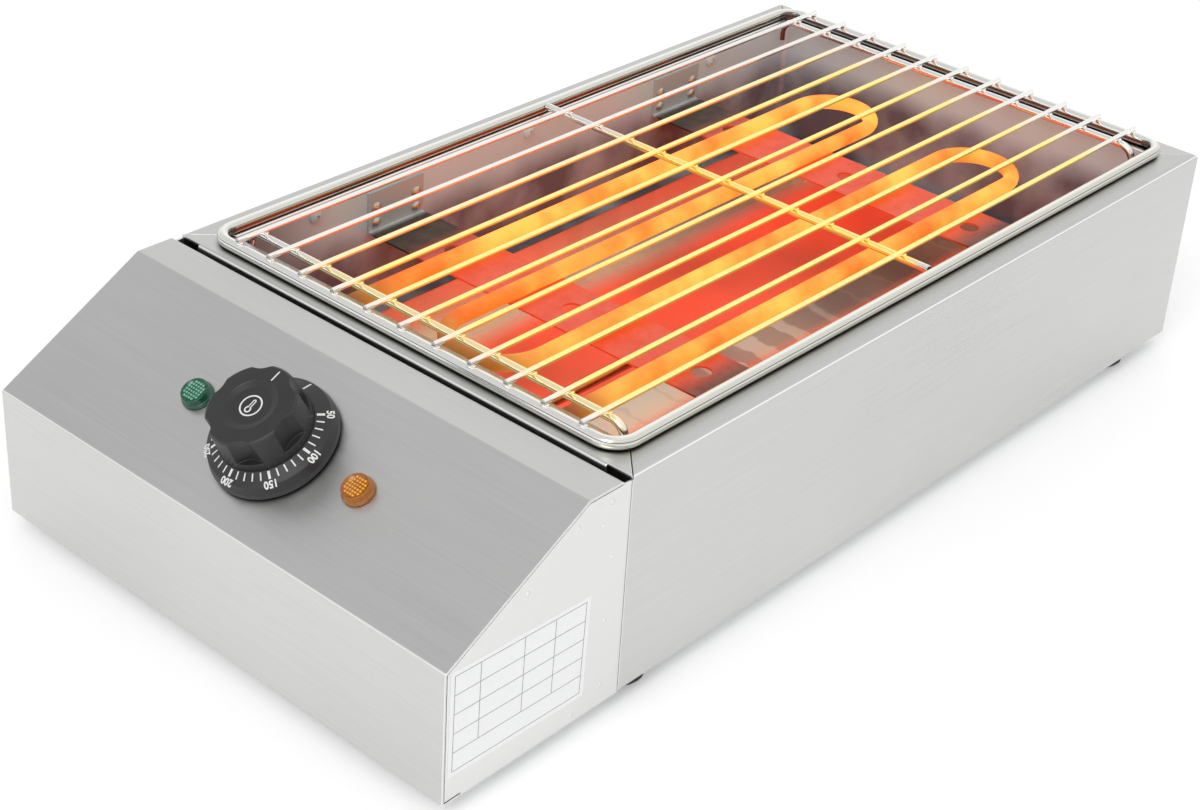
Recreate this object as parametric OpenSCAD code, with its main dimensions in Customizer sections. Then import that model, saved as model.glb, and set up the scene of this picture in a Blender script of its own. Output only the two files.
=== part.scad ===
// Electric table grill: a folded stainless body with a lift-off wire rack over a bent
// heating element, a drip tray that pulls out at the back, and a sloping control housing with
// a thermostat knob and two lamps at the front.
// X runs across, Y from the control housing to the back, Z up from the table.

/* [Body] */
// Width over the side walls
body_w = 280; // [250:1:320]
// Length of the cooking body behind the control housing
body_l = 450.5; // [420:0.5:500]
// Height of the rim above the table
rim_z = 114.6; // [110:0.1:125]
// Thickness of the outer sheet
sheet_t = 1; // [0.8:0.1:1.2]
// Inside radius of the sheet bends
bend_in = 0.6; // [0.4:0.1:0.9]
// Width of the flat rim round the opening
rim_w = 18; // [15:0.5:20]
// Depth of the hem turned down inside the rim
hem_h = 9; // [7:0.5:10]
// Half of the gap at a mitred rim corner
mitre_gap = 0.35; // [0.2:0.05:0.6]

/* [Feet] */
// Height of a rubber foot
foot_h = 8; // [6:0.5:12]
// Diameter of a rubber foot
foot_d = 20; // [18:0.5:22]
// Distance from a side wall to the centre of a foot
foot_in_x = 13; // [12:0.5:16]
// Distance from the front of the body to the front feet
foot_in_front = 17; // [16:0.5:24]
// Distance from the back of the body to the rear feet
foot_in_rear = 40; // [20:1:60]

/* [Control housing] */
// Depth of the housing's cover from front to back
cover_d = 97.9; // [92:0.1:110]
// Height of the top of the vertical front face above the table
front_top_z = 71.6; // [66:0.1:78]
// Depth of the flat strip behind the slope
strip_d = 20.6; // [16:0.1:26]
// Gap between the cover and the cooking body
seam_gap = 4.6; // [3:0.1:6]
// How far the housing reaches below the body
housing_drop = 1; // [0:0.5:3]
// Width of the flanges that the cover lies on
flange_w = 10; // [8:0.5:12]

/* [Rack] */
// Diameter of the rack's frame rod
frame_rod_d = 6; // [5:0.5:7]
// Corner radius of the frame rod
frame_corner_r = 11; // [10:1:20]
// Distance from the side wall to the centre of the frame's side rod
rack_in_x = 15; // [13:0.5:16]
// Distance from the front of the body to the frame's front rod
rack_in_front = 6.7; // [5:0.1:9]
// Distance from the back of the body to the frame's rear rod
rack_in_rear = 12.6; // [8:0.1:15]
// Diameter of a long wire
long_wire_d = 2.7; // [2:0.1:3.5]
// Number of long wires
long_wire_n = 11; // [7:1:13]
// Diameter of a cross wire
cross_wire_d = 4; // [3:0.1:4.5]
// Distance from an end rod to the cross wire next to it
cross_in = 15.1; // [14.6:0.1:18]
// How far the locating ends of the cross wires hang below the rim
tip_drop = 8; // [6:0.5:12]

/* [Heating] */
// Diameter of the element's tube
tube_d = 8; // [6:0.5:9]
// Depth of the element's axis below the rim
tube_drop = 21.6; // [20:0.1:26]
// Distance from the middle to the outer runs
outer_run_x = 68; // [60:1:80]
// Distance from the middle to the inner runs
inner_run_x = 25; // [20:1:30]
// Width of a strip that carries the element
carrier_w = 37; // [25:1:45]
// Thickness of the inner sheets
liner_t = 0.8; // [0.6:0.1:1]
/* [Drip tray] */
// Height of the tray
tray_h = 32; // [25:1:40]
// Distance between the side wall and the tray
tray_in = 21.5; // [20:0.5:26]
// Headroom over the tray
tray_clear = 2; // [1.5:0.1:4]
// How far the pull lip stands out
lip_d = 10; // [8:0.5:14]

/* [Knob and lamps] */
// Distance of the knob and the lamps up the slope
panel_s = 44.2; // [40:0.1:46]
// Radius of the dial skirt
skirt_r = 29; // [28:0.5:32]
// Radius of the grip at its foot
grip_r = 21.3; // [19:0.1:23]
// Height of the grip's top above the slope
grip_top = 27.6; // [25:0.1:30]
// Number of finger flutes round the grip
flute_n = 6; // [5:1:8]
// Radius of the thermostat's spindle
spindle_r = 3; // [2.5:0.1:3.5]
// Distance from the middle to each lamp
lamp_x = 50.5; // [45:0.5:60]
// Diameter of a lamp's lens
lens_d = 15.7; // [14:0.1:17]

/* [Hidden] */

$fn = 48;
// Clearances: sheets laid on sheets, screws in their holes, parts that slide, turning fit
lay_gap = 0.1;
hole_gap = 0.1;
slide_gap = 0.5;
turn_gap = 0.05;
weld_gap = 0.05;
big = 1000;

bend_out = bend_in + sheet_t;
body_y = cover_d + seam_gap;
back_y = body_y + body_l;
half_w = body_w / 2;
base_z = foot_h;
base_top = base_z + sheet_t;
housing_z = foot_h - housing_drop;
housing_top = housing_z + sheet_t;
slope_run = cover_d - strip_d;
slope_a = atan2(rim_z - front_top_z, slope_run);

// The grommet stands proud of the left side and the tray's lip of the back, so the
// middle of the outer box is a little off the middle of the body
grommet_proud = 1.5;
panel_in = 0.15;
tray_front_y = back_y + 0.25;
total_l = tray_front_y + lip_d;
origin_x = -grommet_proud / 2;
origin_y = total_l / 2;

module placed() translate([-origin_x, -origin_y, 0]) children();

// ---- helpers ----

function unit(v) = v / norm(v);
function right_of(a) = [a[1], -a[0]];
// The path moved sideways by d, to the right of the way it runs
function offset_path(p, d) = [for (i = [0:len(p) - 1])
    i == 0 ? p[0] + d * right_of(unit(p[1] - p[0])) :
    i == len(p) - 1 ? p[i] + d * right_of(unit(p[i] - p[i - 1])) :
    let (ra = right_of(unit(p[i] - p[i - 1])), rb = right_of(unit(p[i + 1] - p[i])))
    p[i] + d * (ra + rb) / (1 + ra * rb)];

// Bends that aren't square are drawn a hair thinner and the flats run a hair into them
fold_step = 0.005;
fold_lap = 0.05;

// One bend of a sheet in section, about the corner p from direction a to direction b
module sheet_bend(p, a, b, t, rm) {
    turn = acos(a * b);
    c = p + unit(b - a) * rm / cos(turn / 2);
    u1 = unit(p - a * rm * tan(turn / 2) - c);
    u2 = unit(p + b * rm * tan(turn / 2) - c);
    reach = 2 * (rm + t);
    step = turn == 90 ? 0 : fold_step;
    translate(c) intersection() {
        difference() {
            circle(r = rm + t / 2 - step);
            circle(r = rm - t / 2 + step);
        }
        polygon([[0, 0], u1 * reach, unit(u1 + u2) * reach * 1.5, u2 * reach]);
    }
}

// Section of a folded sheet whose outer face follows the points, with the metal on the
// right of the way they run
module folded_sheet(points, t = sheet_t, r_in = bend_in) {
    p = offset_path(points, t / 2);
    n = len(p);
    rm = r_in + t / 2;
    turn = [for (i = [0:n - 1]) i == 0 || i == n - 1 ? 0 :
        acos(unit(p[i] - p[i - 1]) * unit(p[i + 1] - p[i]))];
    cut = [for (a = turn) rm * tan(a / 2) - (a == 0 || a == 90 ? 0 : fold_lap)];
    for (i = [0:n - 2]) {
        d = unit(p[i + 1] - p[i]);
        s = p[i] + d * cut[i];
        e = p[i + 1] - d * cut[i + 1];
        h = right_of(d) * t / 2;
        polygon([s + h, e + h, e - h, s - h]);
    }
    for (i = [1:n - 2])
        sheet_bend(p[i], unit(p[i] - p[i - 1]), unit(p[i + 1] - p[i]), t, rm);
}

// A section drawn in X and Z, drawn out along Y
module along_y(y0, y1) translate([0, y1, 0]) rotate([90, 0, 0]) linear_extrude(y1 - y0)
    children();

// A section drawn in Y and Z, drawn out along X
module along_x(x0, x1) translate([x0, 0, 0]) rotate([90, 0, 90]) linear_extrude(x1 - x0)
    children();

module block(x0, x1, y0, y1, z0, z1) translate([x0, y0, z0]) cube([x1 - x0, y1 - y0, z1 - z0]);

module both_sides() {
    children();
    mirror([1, 0, 0]) children();
}

// Round bar from p to q
module bar(p, q, r) {
    v = q - p;
    translate(p) rotate([0, acos(v[2] / norm(v)), atan2(v[1], v[0])])
        cylinder(h = norm(v), r = r);
}

// Round bar bent at p from direction a to direction b
module bar_bend(p, a, b, bend, r) {
    turn = acos(a * b);
    c = p + unit(b - a) * bend / cos(turn / 2);
    e1 = unit(p - a * bend * tan(turn / 2) - c);
    e3 = cross(e1, a);
    multmatrix([[e1[0], a[0], e3[0], c[0]], [e1[1], a[1], e3[1], c[1]],
        [e1[2], a[2], e3[2], c[2]], [0, 0, 0, 1]])
        rotate_extrude(angle = turn) translate([bend, 0]) circle(r = r);
}

// Round bar through the points, bent at each inner one: the straights are a hair
// thinner than the bends and run a hair into them
bar_lap = 0.2;
bar_step = 0.01;
module bent_bar(p, r, bend) {
    n = len(p);
    cut = [for (i = [0:n - 1]) i == 0 || i == n - 1 ? 0 :
        bend * tan(acos(unit(p[i] - p[i - 1]) * unit(p[i + 1] - p[i])) / 2) - bar_lap];
    for (i = [0:n - 2]) {
        d = unit(p[i + 1] - p[i]);
        bar(p[i] + d * cut[i], p[i + 1] - d * cut[i + 1], r - bar_step);
    }
    for (i = [1:n - 2])
        bar_bend(p[i], unit(p[i] - p[i - 1]), unit(p[i + 1] - p[i]), bend, r);
}

module rounded_plan(x0, x1, y0, y1, r) {
    translate([x0 + r, y0]) square([x1 - x0 - 2 * r, y1 - y0]);
    translate([x0, y0 + r]) square([x1 - x0, y1 - y0 - 2 * r]);
    for (x = [x0 + r, x1 - r], y = [y0 + r, y1 - r]) translate([x, y]) circle(r = r);
}

// Pan-head screw standing on the XY plane with its shank downwards
screw_r = 2;
head_r = 3.6;
head_h = 2.2;
drive_r = 1.3;
module screw(length, r = screw_r) {
    difference() {
        intersection() {
            cylinder(h = head_h, r = head_r);
            translate([0, 0, head_h - 2 * head_r]) sphere(r = 2 * head_r);
        }
        translate([0, 0, head_h - 1]) cylinder(h = 2, r = drive_r, $fn = 6);
    }
    translate([0, 0, -length]) cylinder(h = length, r = r);
}

// Hexagon nut from z = 0 upwards
nut_af_r = 4;
nut_h = 3;
module nut(bore_r, outer_r = nut_af_r, h = nut_h) difference() {
    cylinder(h = h, r = outer_r, $fn = 6);
    translate([0, 0, -1]) cylinder(h = h + 2, r = bore_r);
}

// ---- body ----

rim_path = [[0, base_z], [0, rim_z], [rim_w, rim_z], [rim_w, rim_z - hem_h]];

// Plan of a side's mitred rim, as distance in from the wall against Y
module side_rim_plan() polygon([[0, body_y + mitre_gap], [rim_w, body_y + rim_w + mitre_gap],
    [rim_w, back_y - rim_w - mitre_gap], [0, back_y - mitre_gap]]);

join_flange = 12;
join_x = half_w - sheet_t - 6;
join_z = [30, 58, 86];
bulkhead_proud = 1.3;
bulkhead_y = body_y - bulkhead_proud;
notch_x = half_w - 13.5;
notch_z = rim_z - hem_h - 1.6;

module join_holes() for (z = join_z) translate([join_x, body_y - 5, z])
    rotate([-90, 0, 0]) cylinder(h = 10, r = screw_r + hole_gap);

// Right-hand side wall: folded rim on top, a flange at the front for the bulkhead
module side_wall() {
    difference() {
        intersection() {
            translate([half_w, 0, 0]) mirror([1, 0, 0]) along_y(body_y, back_y)
                folded_sheet(rim_path);
            union() {
                block(half_w - sheet_t, half_w, body_y, back_y, base_z, rim_z - bend_out);
                translate([half_w, 0, 0]) mirror([1, 0, 0]) linear_extrude(big)
                    side_rim_plan();
            }
        }
        liner_screw_places() translate([0, 0, -4]) cylinder(h = 4, r = screw_r + hole_gap);
    }
    difference() {
        block(half_w - sheet_t - join_flange, half_w - sheet_t, body_y, body_y + sheet_t,
            base_top + 3, notch_z);
        join_holes();
    }
}

module side_wall_right() color("gainsboro") placed() side_wall();
module side_wall_left() color("gainsboro") placed() mirror([1, 0, 0]) side_wall();

tray_z0 = base_top + sheet_t + 0.3;
tray_z1 = tray_z0 + tray_h;
slot_z = tray_z1 + tray_clear - 0.3;
tray_x = half_w - tray_in;
slot_x = tray_x + 1;

// Rear wall between the side walls, with the slot for the drip tray
module rear_wall() color("gainsboro") placed() {
    inner_x = half_w - sheet_t;
    difference() {
        intersection() {
            translate([0, back_y, 0]) mirror([0, 1, 0]) along_x(-half_w, half_w)
                folded_sheet(rim_path);
            union() {
                block(-inner_x, inner_x, back_y - sheet_t, back_y, base_z, rim_z - bend_out);
                intersection() {
                    linear_extrude(big) polygon([[-half_w + mitre_gap, back_y],
                        [half_w - mitre_gap, back_y],
                        [half_w - rim_w - mitre_gap, back_y - rim_w],
                        [-half_w + rim_w + mitre_gap, back_y - rim_w]]);
                    union() {
                        block(-inner_x, inner_x, back_y - rim_w, back_y, 0, rim_z);
                        block(-half_w, half_w, back_y - rim_w, back_y, rim_z - bend_out, rim_z);
                    }
                }
            }
        }
        block(-slot_x, slot_x, back_y - 5, back_y + 5, 0, slot_z);
    }
    both_sides() block(inner_x - lay_gap - sheet_t, inner_x - lay_gap, back_y - sheet_t - 11,
        back_y - sheet_t, base_top + 12, notch_z);
}

bush_r = 6;
tube_z = rim_z - tube_drop;
bulb_x = (outer_run_x + inner_run_x) / 2;
bulb_r = 3;
carrier_t = 1;
carrier_z = tube_z - tube_d / 2 - weld_gap - carrier_t;
bulb_z = carrier_z - bulb_r - weld_gap;
gland_r = 2.5;
foot_in = 4;

// Wall between the control housing and the cooking body, with the front of the rim
module front_bulkhead() color("gainsboro") placed() {
    inner_x = half_w - sheet_t - 2 * lay_gap;
    difference() {
        intersection() {
            along_x(-half_w, half_w) folded_sheet([[bulkhead_y + 11, base_top],
                [bulkhead_y, base_top], [bulkhead_y, rim_z], [body_y + rim_w, rim_z],
                [body_y + rim_w, rim_z - hem_h]]);
            union() {
                block(-inner_x, inner_x, 0, bulkhead_y + bend_out + 0.2, 0, notch_z);
                block(foot_in - inner_x, inner_x - foot_in, 0, body_y + rim_w, 0, notch_z);
                block(-notch_x, notch_x, 0, body_y, 0, rim_z);
                translate([0, 0, notch_z]) linear_extrude(big)
                    polygon([[-half_w + mitre_gap, body_y], [half_w - mitre_gap, body_y],
                        [half_w - rim_w - mitre_gap, body_y + rim_w],
                        [-half_w + rim_w + mitre_gap, body_y + rim_w]]);
            }
        }
        both_sides() join_holes();
        both_sides() translate([outer_run_x, bulkhead_y - 5, tube_z]) rotate([-90, 0, 0])
            cylinder(h = 10, r = bush_r + hole_gap);
        translate([bulb_x, bulkhead_y - 5, bulb_z]) rotate([-90, 0, 0])
            cylinder(h = 10, r = gland_r);
    }
    both_sides() block(inner_x - sheet_t, inner_x, bulkhead_y - 14, bulkhead_y,
        housing_top + 5, notch_z);
}

base_in = sheet_t + 0.3;
foot_x = half_w - foot_in_x;
foot_ys = [body_y + foot_in_front, back_y - foot_in_rear];

// Floor of the body, turned up at the sides
module base_plate() color("silver") placed() {
    a = half_w - base_in;
    difference() {
        along_y(body_y + sheet_t + 0.2, back_y - sheet_t - 0.2)
            folded_sheet([[a, base_z + 11], [a, base_z], [-a, base_z], [-a, base_z + 11]]);
        both_sides() for (y = foot_ys) translate([foot_x, y, 0])
            cylinder(h = base_top + 1, r = screw_r + hole_gap);
    }
}

// ---- inside the cooking body ----

liner_x = half_w - rim_w - lay_gap;
liner_y0 = body_y + rim_w + lay_gap;
liner_y1 = back_y - rim_w - lay_gap;
liner_z0 = tray_z1 + tray_clear;
liner_z1 = rim_z - 1.5;
liner_r = 4;
ledge_w = 7;
carrier_ys = [liner_y0 + 99.9, liner_y1 - 99.9];
rivet_r = 1.6;
rivet_head_r = 3;
rivet_dy = 13.5;
rivet_zs = [carrier_z + bend_in + carrier_t + rivet_head_r + 0.1, tube_z + 8];
liner_screw_ys = [liner_y0 + 47.4, (liner_y0 + liner_y1) / 2 - 12, liner_y1 - 70];
liner_screw_z = rim_z - 5.6;

module rivet_places() for (y = carrier_ys, dy = [-rivet_dy, rivet_dy], z = rivet_zs)
    translate([liner_x - liner_t - lay_gap - carrier_t, y + dy, z]) rotate([0, -90, 0])
        children();

module liner_screw_places() for (y = liner_screw_ys)
    translate([liner_x - liner_t, y, liner_screw_z]) rotate([0, -90, 0]) children();

// Wall of the cooking space: a ring with rounded corners and a ledge at its foot
module cooking_liner() color("darkgray") placed() difference() {
    union() {
        translate([0, 0, liner_z0]) linear_extrude(liner_z1 - liner_z0) difference() {
            rounded_plan(-liner_x, liner_x, liner_y0, liner_y1, liner_r);
            rounded_plan(-liner_x + liner_t, liner_x - liner_t, liner_y0 + liner_t,
                liner_y1 - liner_t, liner_r - liner_t);
        }
        translate([0, 0, liner_z0]) linear_extrude(liner_t) difference() {
            rounded_plan(-liner_x, liner_x, liner_y0, liner_y1, liner_r);
            rounded_plan(-liner_x + ledge_w, liner_x - ledge_w, liner_y0 + ledge_w,
                liner_y1 - ledge_w, liner_r);
        }
    }
    both_sides() translate([outer_run_x, liner_y0 - 5, tube_z]) rotate([-90, 0, 0])
        cylinder(h = 10, r = tube_d / 2 + slide_gap);
    translate([bulb_x, liner_y0 - 5, bulb_z]) rotate([-90, 0, 0])
        cylinder(h = 10, r = bulb_r + slide_gap);
    both_sides() rivet_places() translate([0, 0, -8]) cylinder(h = 10, r = rivet_r + hole_gap);
    both_sides() liner_screw_places() translate([0, 0, -2])
        cylinder(h = 4, r = screw_r + hole_gap);
}

// Screws that hold the liner to the hem of the rim
module liner_screws() color("silver") placed() both_sides() liner_screw_places() screw(4);

// Strips under the element, turned up and riveted to the liner's side walls
module element_carriers() color("gray") placed() for (y = carrier_ys) difference() {
    a = liner_x - liner_t - lay_gap;
    along_y(y - carrier_w / 2, y + carrier_w / 2)
        folded_sheet([[a, liner_screw_z + 1], [a, carrier_z], [-a, carrier_z],
            [-a, liner_screw_z + 1]], carrier_t);
    both_sides() for (dy = [-rivet_dy, rivet_dy], z = rivet_zs) translate([a - 3, y + dy, z])
        rotate([0, 90, 0]) cylinder(h = 5, r = rivet_r + hole_gap);
    for (x = [-outer_run_x - 11, 0, outer_run_x + 11]) translate([x, y, carrier_z - 1])
        cylinder(h = 4, r = 5);
}

// Domed rivets through carrier and liner
module carrier_rivets() color("silver") placed() both_sides() rivet_places() {
    intersection() {
        cylinder(h = 1.3, r = rivet_head_r);
        translate([0, 0, 1.3 - 5]) sphere(r = 5);
    }
    tail = carrier_t + lay_gap + liner_t;
    translate([0, 0, -tail]) cylinder(h = tail, r = rivet_r);
    translate([0, 0, -tail - 1]) cylinder(h = 1, r = rivet_r + 0.9);
}

element_front = bulkhead_y - 11.2;
element_back = liner_y1 - 30;
inner_front = liner_y0 + 26.5;

// One tube bent into four runs, its two cold ends through the bulkhead
module heating_element() color("orangered") placed() {
    u = (outer_run_x - inner_run_x) / 2;
    m = outer_run_x - u;
    both_sides() {
        bar([outer_run_x, element_front, tube_z], [outer_run_x, element_back - u, tube_z],
            tube_d / 2);
        translate([m, element_back - u, tube_z]) rotate_extrude(angle = 180)
            translate([u, 0]) circle(d = tube_d);
        bar([inner_run_x, element_back - u, tube_z],
            [inner_run_x, inner_front + inner_run_x, tube_z], tube_d / 2);
    }
    translate([0, inner_front + inner_run_x, tube_z]) rotate([0, 0, 180])
        rotate_extrude(angle = 180) translate([inner_run_x, 0]) circle(d = tube_d);
}

bush_head = 5;
bush_tail = 9;
bush_hex_r = 9;
bush_nut_h = 5;
pin_l = 10;
bead_h = 4;

// Threaded sleeves on the tube's ends, with a hexagon behind the bulkhead
module element_bushings() color("goldenrod") placed() both_sides()
    translate([outer_run_x, bulkhead_y + sheet_t, tube_z]) rotate([-90, 0, 0]) difference() {
        union() {
            cylinder(h = bush_head, r = bush_hex_r, $fn = 6);
            translate([0, 0, -bush_tail]) cylinder(h = bush_tail, r = bush_r);
        }
        translate([0, 0, -bush_tail - 1])
            cylinder(h = bush_tail + bush_head + 2, r = tube_d / 2 + weld_gap);
    }

module element_nuts() color("goldenrod") placed() both_sides()
    translate([outer_run_x, bulkhead_y - bush_nut_h, tube_z]) rotate([-90, 0, 0])
        nut(bush_r + turn_gap, bush_hex_r, bush_nut_h);

pin_y = element_front - pin_l;

// Terminal pins in ceramic beads at the tube's cold ends
module element_pins() color("linen") placed() both_sides()
    translate([outer_run_x, element_front, tube_z]) rotate([90, 0, 0]) {
        cylinder(h = bead_h, r1 = tube_d / 2, r2 = tube_d / 2 - 1);
        translate([0, 0, bead_h]) cylinder(h = pin_l - bead_h, r = screw_r);
    }

bulb_y0 = liner_y0 - 4;
bulb_y1 = carrier_ys[0] + 8;

// Thermostat's sensing bulb, held under the front carrier
module thermostat_bulb() color("peru") placed() translate([bulb_x, bulb_y0, bulb_z])
    rotate([-90, 0, 0]) {
        cylinder(h = 6, r1 = 1.2, r2 = bulb_r);
        translate([0, 0, 6]) cylinder(h = bulb_y1 - bulb_y0 - 6 - bulb_r, r = bulb_r);
        translate([0, 0, bulb_y1 - bulb_y0 - bulb_r]) intersection() {
            sphere(r = bulb_r);
            translate([0, 0, bulb_r]) cube(2 * bulb_r, center = true);
        }
    }

stat_w = 40;
stat_l = 38;
stat_d = 28;
capillary_r = 1;
capillary_bend = 4;
capillary_h = (front_top_z + panel_s * sin(slope_a) - bulb_z) / cos(slope_a);
capillary_y = panel_s * cos(slope_a) + capillary_h * sin(slope_a);
capillary_turn_y = bulkhead_y - 35;
capillary_x = stat_w / 2 + 10;

// Thin copper tube from the bulb to the thermostat
module capillary_tube() color("peru") placed()
    bent_bar([[bulb_x, bulb_y0, bulb_z], [bulb_x, capillary_turn_y, bulb_z],
        [capillary_x, capillary_turn_y, bulb_z], [capillary_x, capillary_y, bulb_z],
        [stat_w / 2, capillary_y, bulb_z]], capillary_r, capillary_bend);

// ---- drip tray ----

tray_y0 = body_y + 11;
tray_t = 0.8;
tray_r = 3;
guide_w = 9;
guide_h = 11;

// Open pan with rounded corners
module drip_tray() color("lightgray") placed() difference() {
    translate([0, 0, tray_z0]) linear_extrude(tray_h)
        rounded_plan(-tray_x, tray_x, tray_y0, tray_front_y, tray_r);
    translate([0, 0, tray_z0 + tray_t]) linear_extrude(tray_h)
        rounded_plan(-tray_x + tray_t, tray_x - tray_t, tray_y0 + tray_t,
            tray_front_y - tray_t, tray_r - tray_t);
}

// Plate on the tray's outer end: it closes the slot and its top edge is the pull lip
module tray_front() color("gainsboro") placed() along_x(-slot_x - 6, slot_x + 6)
    folded_sheet([[tray_front_y, base_z + 0.7], [tray_front_y, slot_z + 5],
        [tray_front_y + lip_d, slot_z + 5], [tray_front_y + lip_d, slot_z]]);

// Runner strips that the tray lies on, each with an upright strip welded along its edge
module tray_guides() color("silver") placed() both_sides() {
    block(tray_x - guide_w, tray_x + slide_gap + sheet_t, tray_y0 + 1, back_y - sheet_t - 0.5,
        base_top, base_top + sheet_t);
    block(tray_x + slide_gap, tray_x + slide_gap + sheet_t, tray_y0 + 1,
        back_y - sheet_t - 0.5, base_top + sheet_t + weld_gap, base_top + guide_h);
}

// ---- rack ----

rod_r = frame_rod_d / 2;
rack_x = half_w - rack_in_x;
rack_y0 = body_y + rack_in_front;
rack_y1 = back_y - rack_in_rear;
rack_z = rim_z + rod_r;
long_z = rim_z + frame_rod_d + weld_gap + long_wire_d / 2;
cross_z = long_z - long_wire_d / 2 - weld_gap - cross_wire_d / 2;
long_pitch = 2 * rack_x * 0.852 / (long_wire_n - 1);

// Closed rectangle of round rod with bent corners
module rack_frame() color("whitesmoke") placed() {
    c = frame_corner_r;
    for (s = [-1, 1]) {
        bar([s * rack_x, rack_y0 + c, rack_z], [s * rack_x, rack_y1 - c, rack_z], rod_r);
        for (e = [[rack_y0, rack_y0 + c, -1], [rack_y1, rack_y1 - c, 1]])
            translate([s * (rack_x - c), e[1], rack_z])
                rotate([0, 0, e[2] > 0 ? (s > 0 ? 0 : 90) : (s > 0 ? 270 : 180)])
                rotate_extrude(angle = 90) translate([c, 0]) circle(r = rod_r);
    }
    for (y = [rack_y0, rack_y1]) bar([-rack_x + c, y, rack_z], [rack_x - c, y, rack_z], rod_r);
}

// Long wires welded on top of the end rods
module rack_long_wires() color("whitesmoke") placed()
    for (i = [0:long_wire_n - 1]) let (x = (i - (long_wire_n - 1) / 2) * long_pitch)
        bar([x, rack_y0 - 1.2, long_z], [x, rack_y1 + 1.2, long_z], long_wire_d / 2);

tip_x = liner_x - liner_t - 2 - slide_gap - cross_wire_d / 2;
tip_z = rim_z - tip_drop;
tip_bend = 8;

// Cross wires under the long ones: the end two turn down inside the opening and keep the
// rack in place, the middle one runs from side rod to side rod
module rack_cross_wires() color("whitesmoke") placed() {
    r = cross_wire_d / 2;
    for (y = [rack_y0 + cross_in, rack_y1 - cross_in])
        bent_bar([[-tip_x, y, tip_z], [-tip_x, y, cross_z], [tip_x, y, cross_z],
            [tip_x, y, tip_z]], r, tip_bend);
    mid_y = (rack_y0 + rack_y1) / 2 + 6;
    reach = rack_x - rod_r - weld_gap;
    bar([-reach, mid_y, cross_z], [reach, mid_y, cross_z], r);
}

// ---- control housing ----

cover_path = [[flange_w, housing_z], [0, housing_z], [0, front_top_z],
    [slope_run, rim_z], [cover_d, rim_z], [cover_d, rim_z - 8]];

// Puts its children on the slope: X across, Y up the slope, Z out of it
module on_slope(x = 0) translate([x, panel_s * cos(slope_a), front_top_z + panel_s * sin(slope_a)])
    rotate([slope_a, 0, 0]) children();

cover_lap = 0.6;
panel_x = half_w - panel_in;
panel_screw_x = 14;
lamp_body_r = 6;
collar_r = spindle_r + 1.4;

// Front, slope and top of the housing, folded from one sheet
module housing_cover() color("gainsboro") placed() difference() {
    along_x(-half_w, half_w) folded_sheet(cover_path);
    both_sides() block(panel_x - sheet_t - lay_gap, half_w + 1, cover_d - 5, cover_d + 1,
        rim_z - 20, rim_z - sheet_t - cover_lap / 2);
    on_slope() {
        translate([0, 0, -5]) cylinder(h = 10, r = collar_r + hole_gap);
        both_sides() translate([panel_screw_x, 0, -5]) cylinder(h = 10, r = screw_r + hole_gap);
        both_sides() translate([lamp_x, 0, -5]) cylinder(h = 10, r = lamp_body_r + hole_gap);
    }
}

side_back_y = body_y - 0.3;
grommet_y = 50;
grommet_z = 30;
grommet_neck_r = 7.5;
grommet_bore_r = 4.6;
base_screw_x = panel_x - sheet_t - flange_w / 2;
base_screw_ys = [26, body_y - 22];

// Right-hand side panel with flanges under the cover and over the base
module housing_side() {
    under = offset_path(cover_path, sheet_t + cover_lap);
    outline = [under[1], under[2], under[3], [side_back_y, under[3][1]],
        [side_back_y, housing_z], [flange_w + cover_lap, housing_z],
        [flange_w + cover_lap, under[1][1]]];
    along_x(panel_x - sheet_t, panel_x) polygon(outline);
    intersection() {
        along_x(panel_x - sheet_t - flange_w, panel_x - sheet_t)
            folded_sheet([[under[2][0], housing_top + 2], under[2], under[3],
                [cover_d - sheet_t - 1, under[3][1]]]);
        block(0, half_w, 0, body_y, housing_top, rim_z);
    }
    difference() {
        block(panel_x - sheet_t - flange_w, panel_x - sheet_t, flange_w + 2,
            bulkhead_y - sheet_t - 14, housing_top, housing_top + sheet_t);
        for (y = base_screw_ys) translate([base_screw_x, y, 0])
            cylinder(h = 20, r = screw_r + hole_gap);
    }
}

module housing_side_right() color("gainsboro") placed() housing_side();

module housing_side_left() color("gainsboro") placed() difference() {
    mirror([1, 0, 0]) housing_side();
    translate([-half_w - 5, grommet_y, grommet_z]) rotate([0, 90, 0])
        cylinder(h = 10, r = grommet_neck_r + hole_gap);
}

vent_n = 9;
vent_l = 30;
vent_w = 3;

// Floor of the housing with two rows of air slots
module housing_base() color("silver") placed() difference() {
    a = panel_x - sheet_t - 0.2;
    translate([0, 0, housing_z]) linear_extrude(sheet_t) difference() {
        translate([-a, flange_w + 0.5]) square([2 * a, bulkhead_y - 0.5 - flange_w - 0.5]);
        for (i = [0:vent_n - 1], y = [28, 62]) translate([20 + i * 9, y]) {
            translate([0, vent_w / 2]) square([vent_w, vent_l - 2 * vent_w]);
            translate([vent_w / 2, vent_w / 2]) circle(d = vent_w);
            translate([vent_w / 2, vent_l - 1.5 * vent_w]) circle(d = vent_w);
        }
    }
    both_sides() for (y = base_screw_ys) translate([base_screw_x, y, 0])
        cylinder(h = 20, r = screw_r + hole_gap);
    for (x = block_screw_xs) translate([x, block_y + block_d / 2, 0])
        cylinder(h = 20, r = screw_r + hole_gap);
    for (s = [-1, 1]) translate([clamp_x, grommet_y + s * clamp_screw_dy, 0])
        cylinder(h = 20, r = screw_r + hole_gap);
}

module base_screws() color("silver") placed() both_sides() for (y = base_screw_ys)
    translate([base_screw_x, y, housing_z]) rotate([180, 0, 0]) screw(7);

module bulkhead_screws() color("silver") placed() both_sides() for (z = join_z)
    translate([join_x, body_y + sheet_t, z]) rotate([-90, 0, 0]) screw(7);

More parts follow.
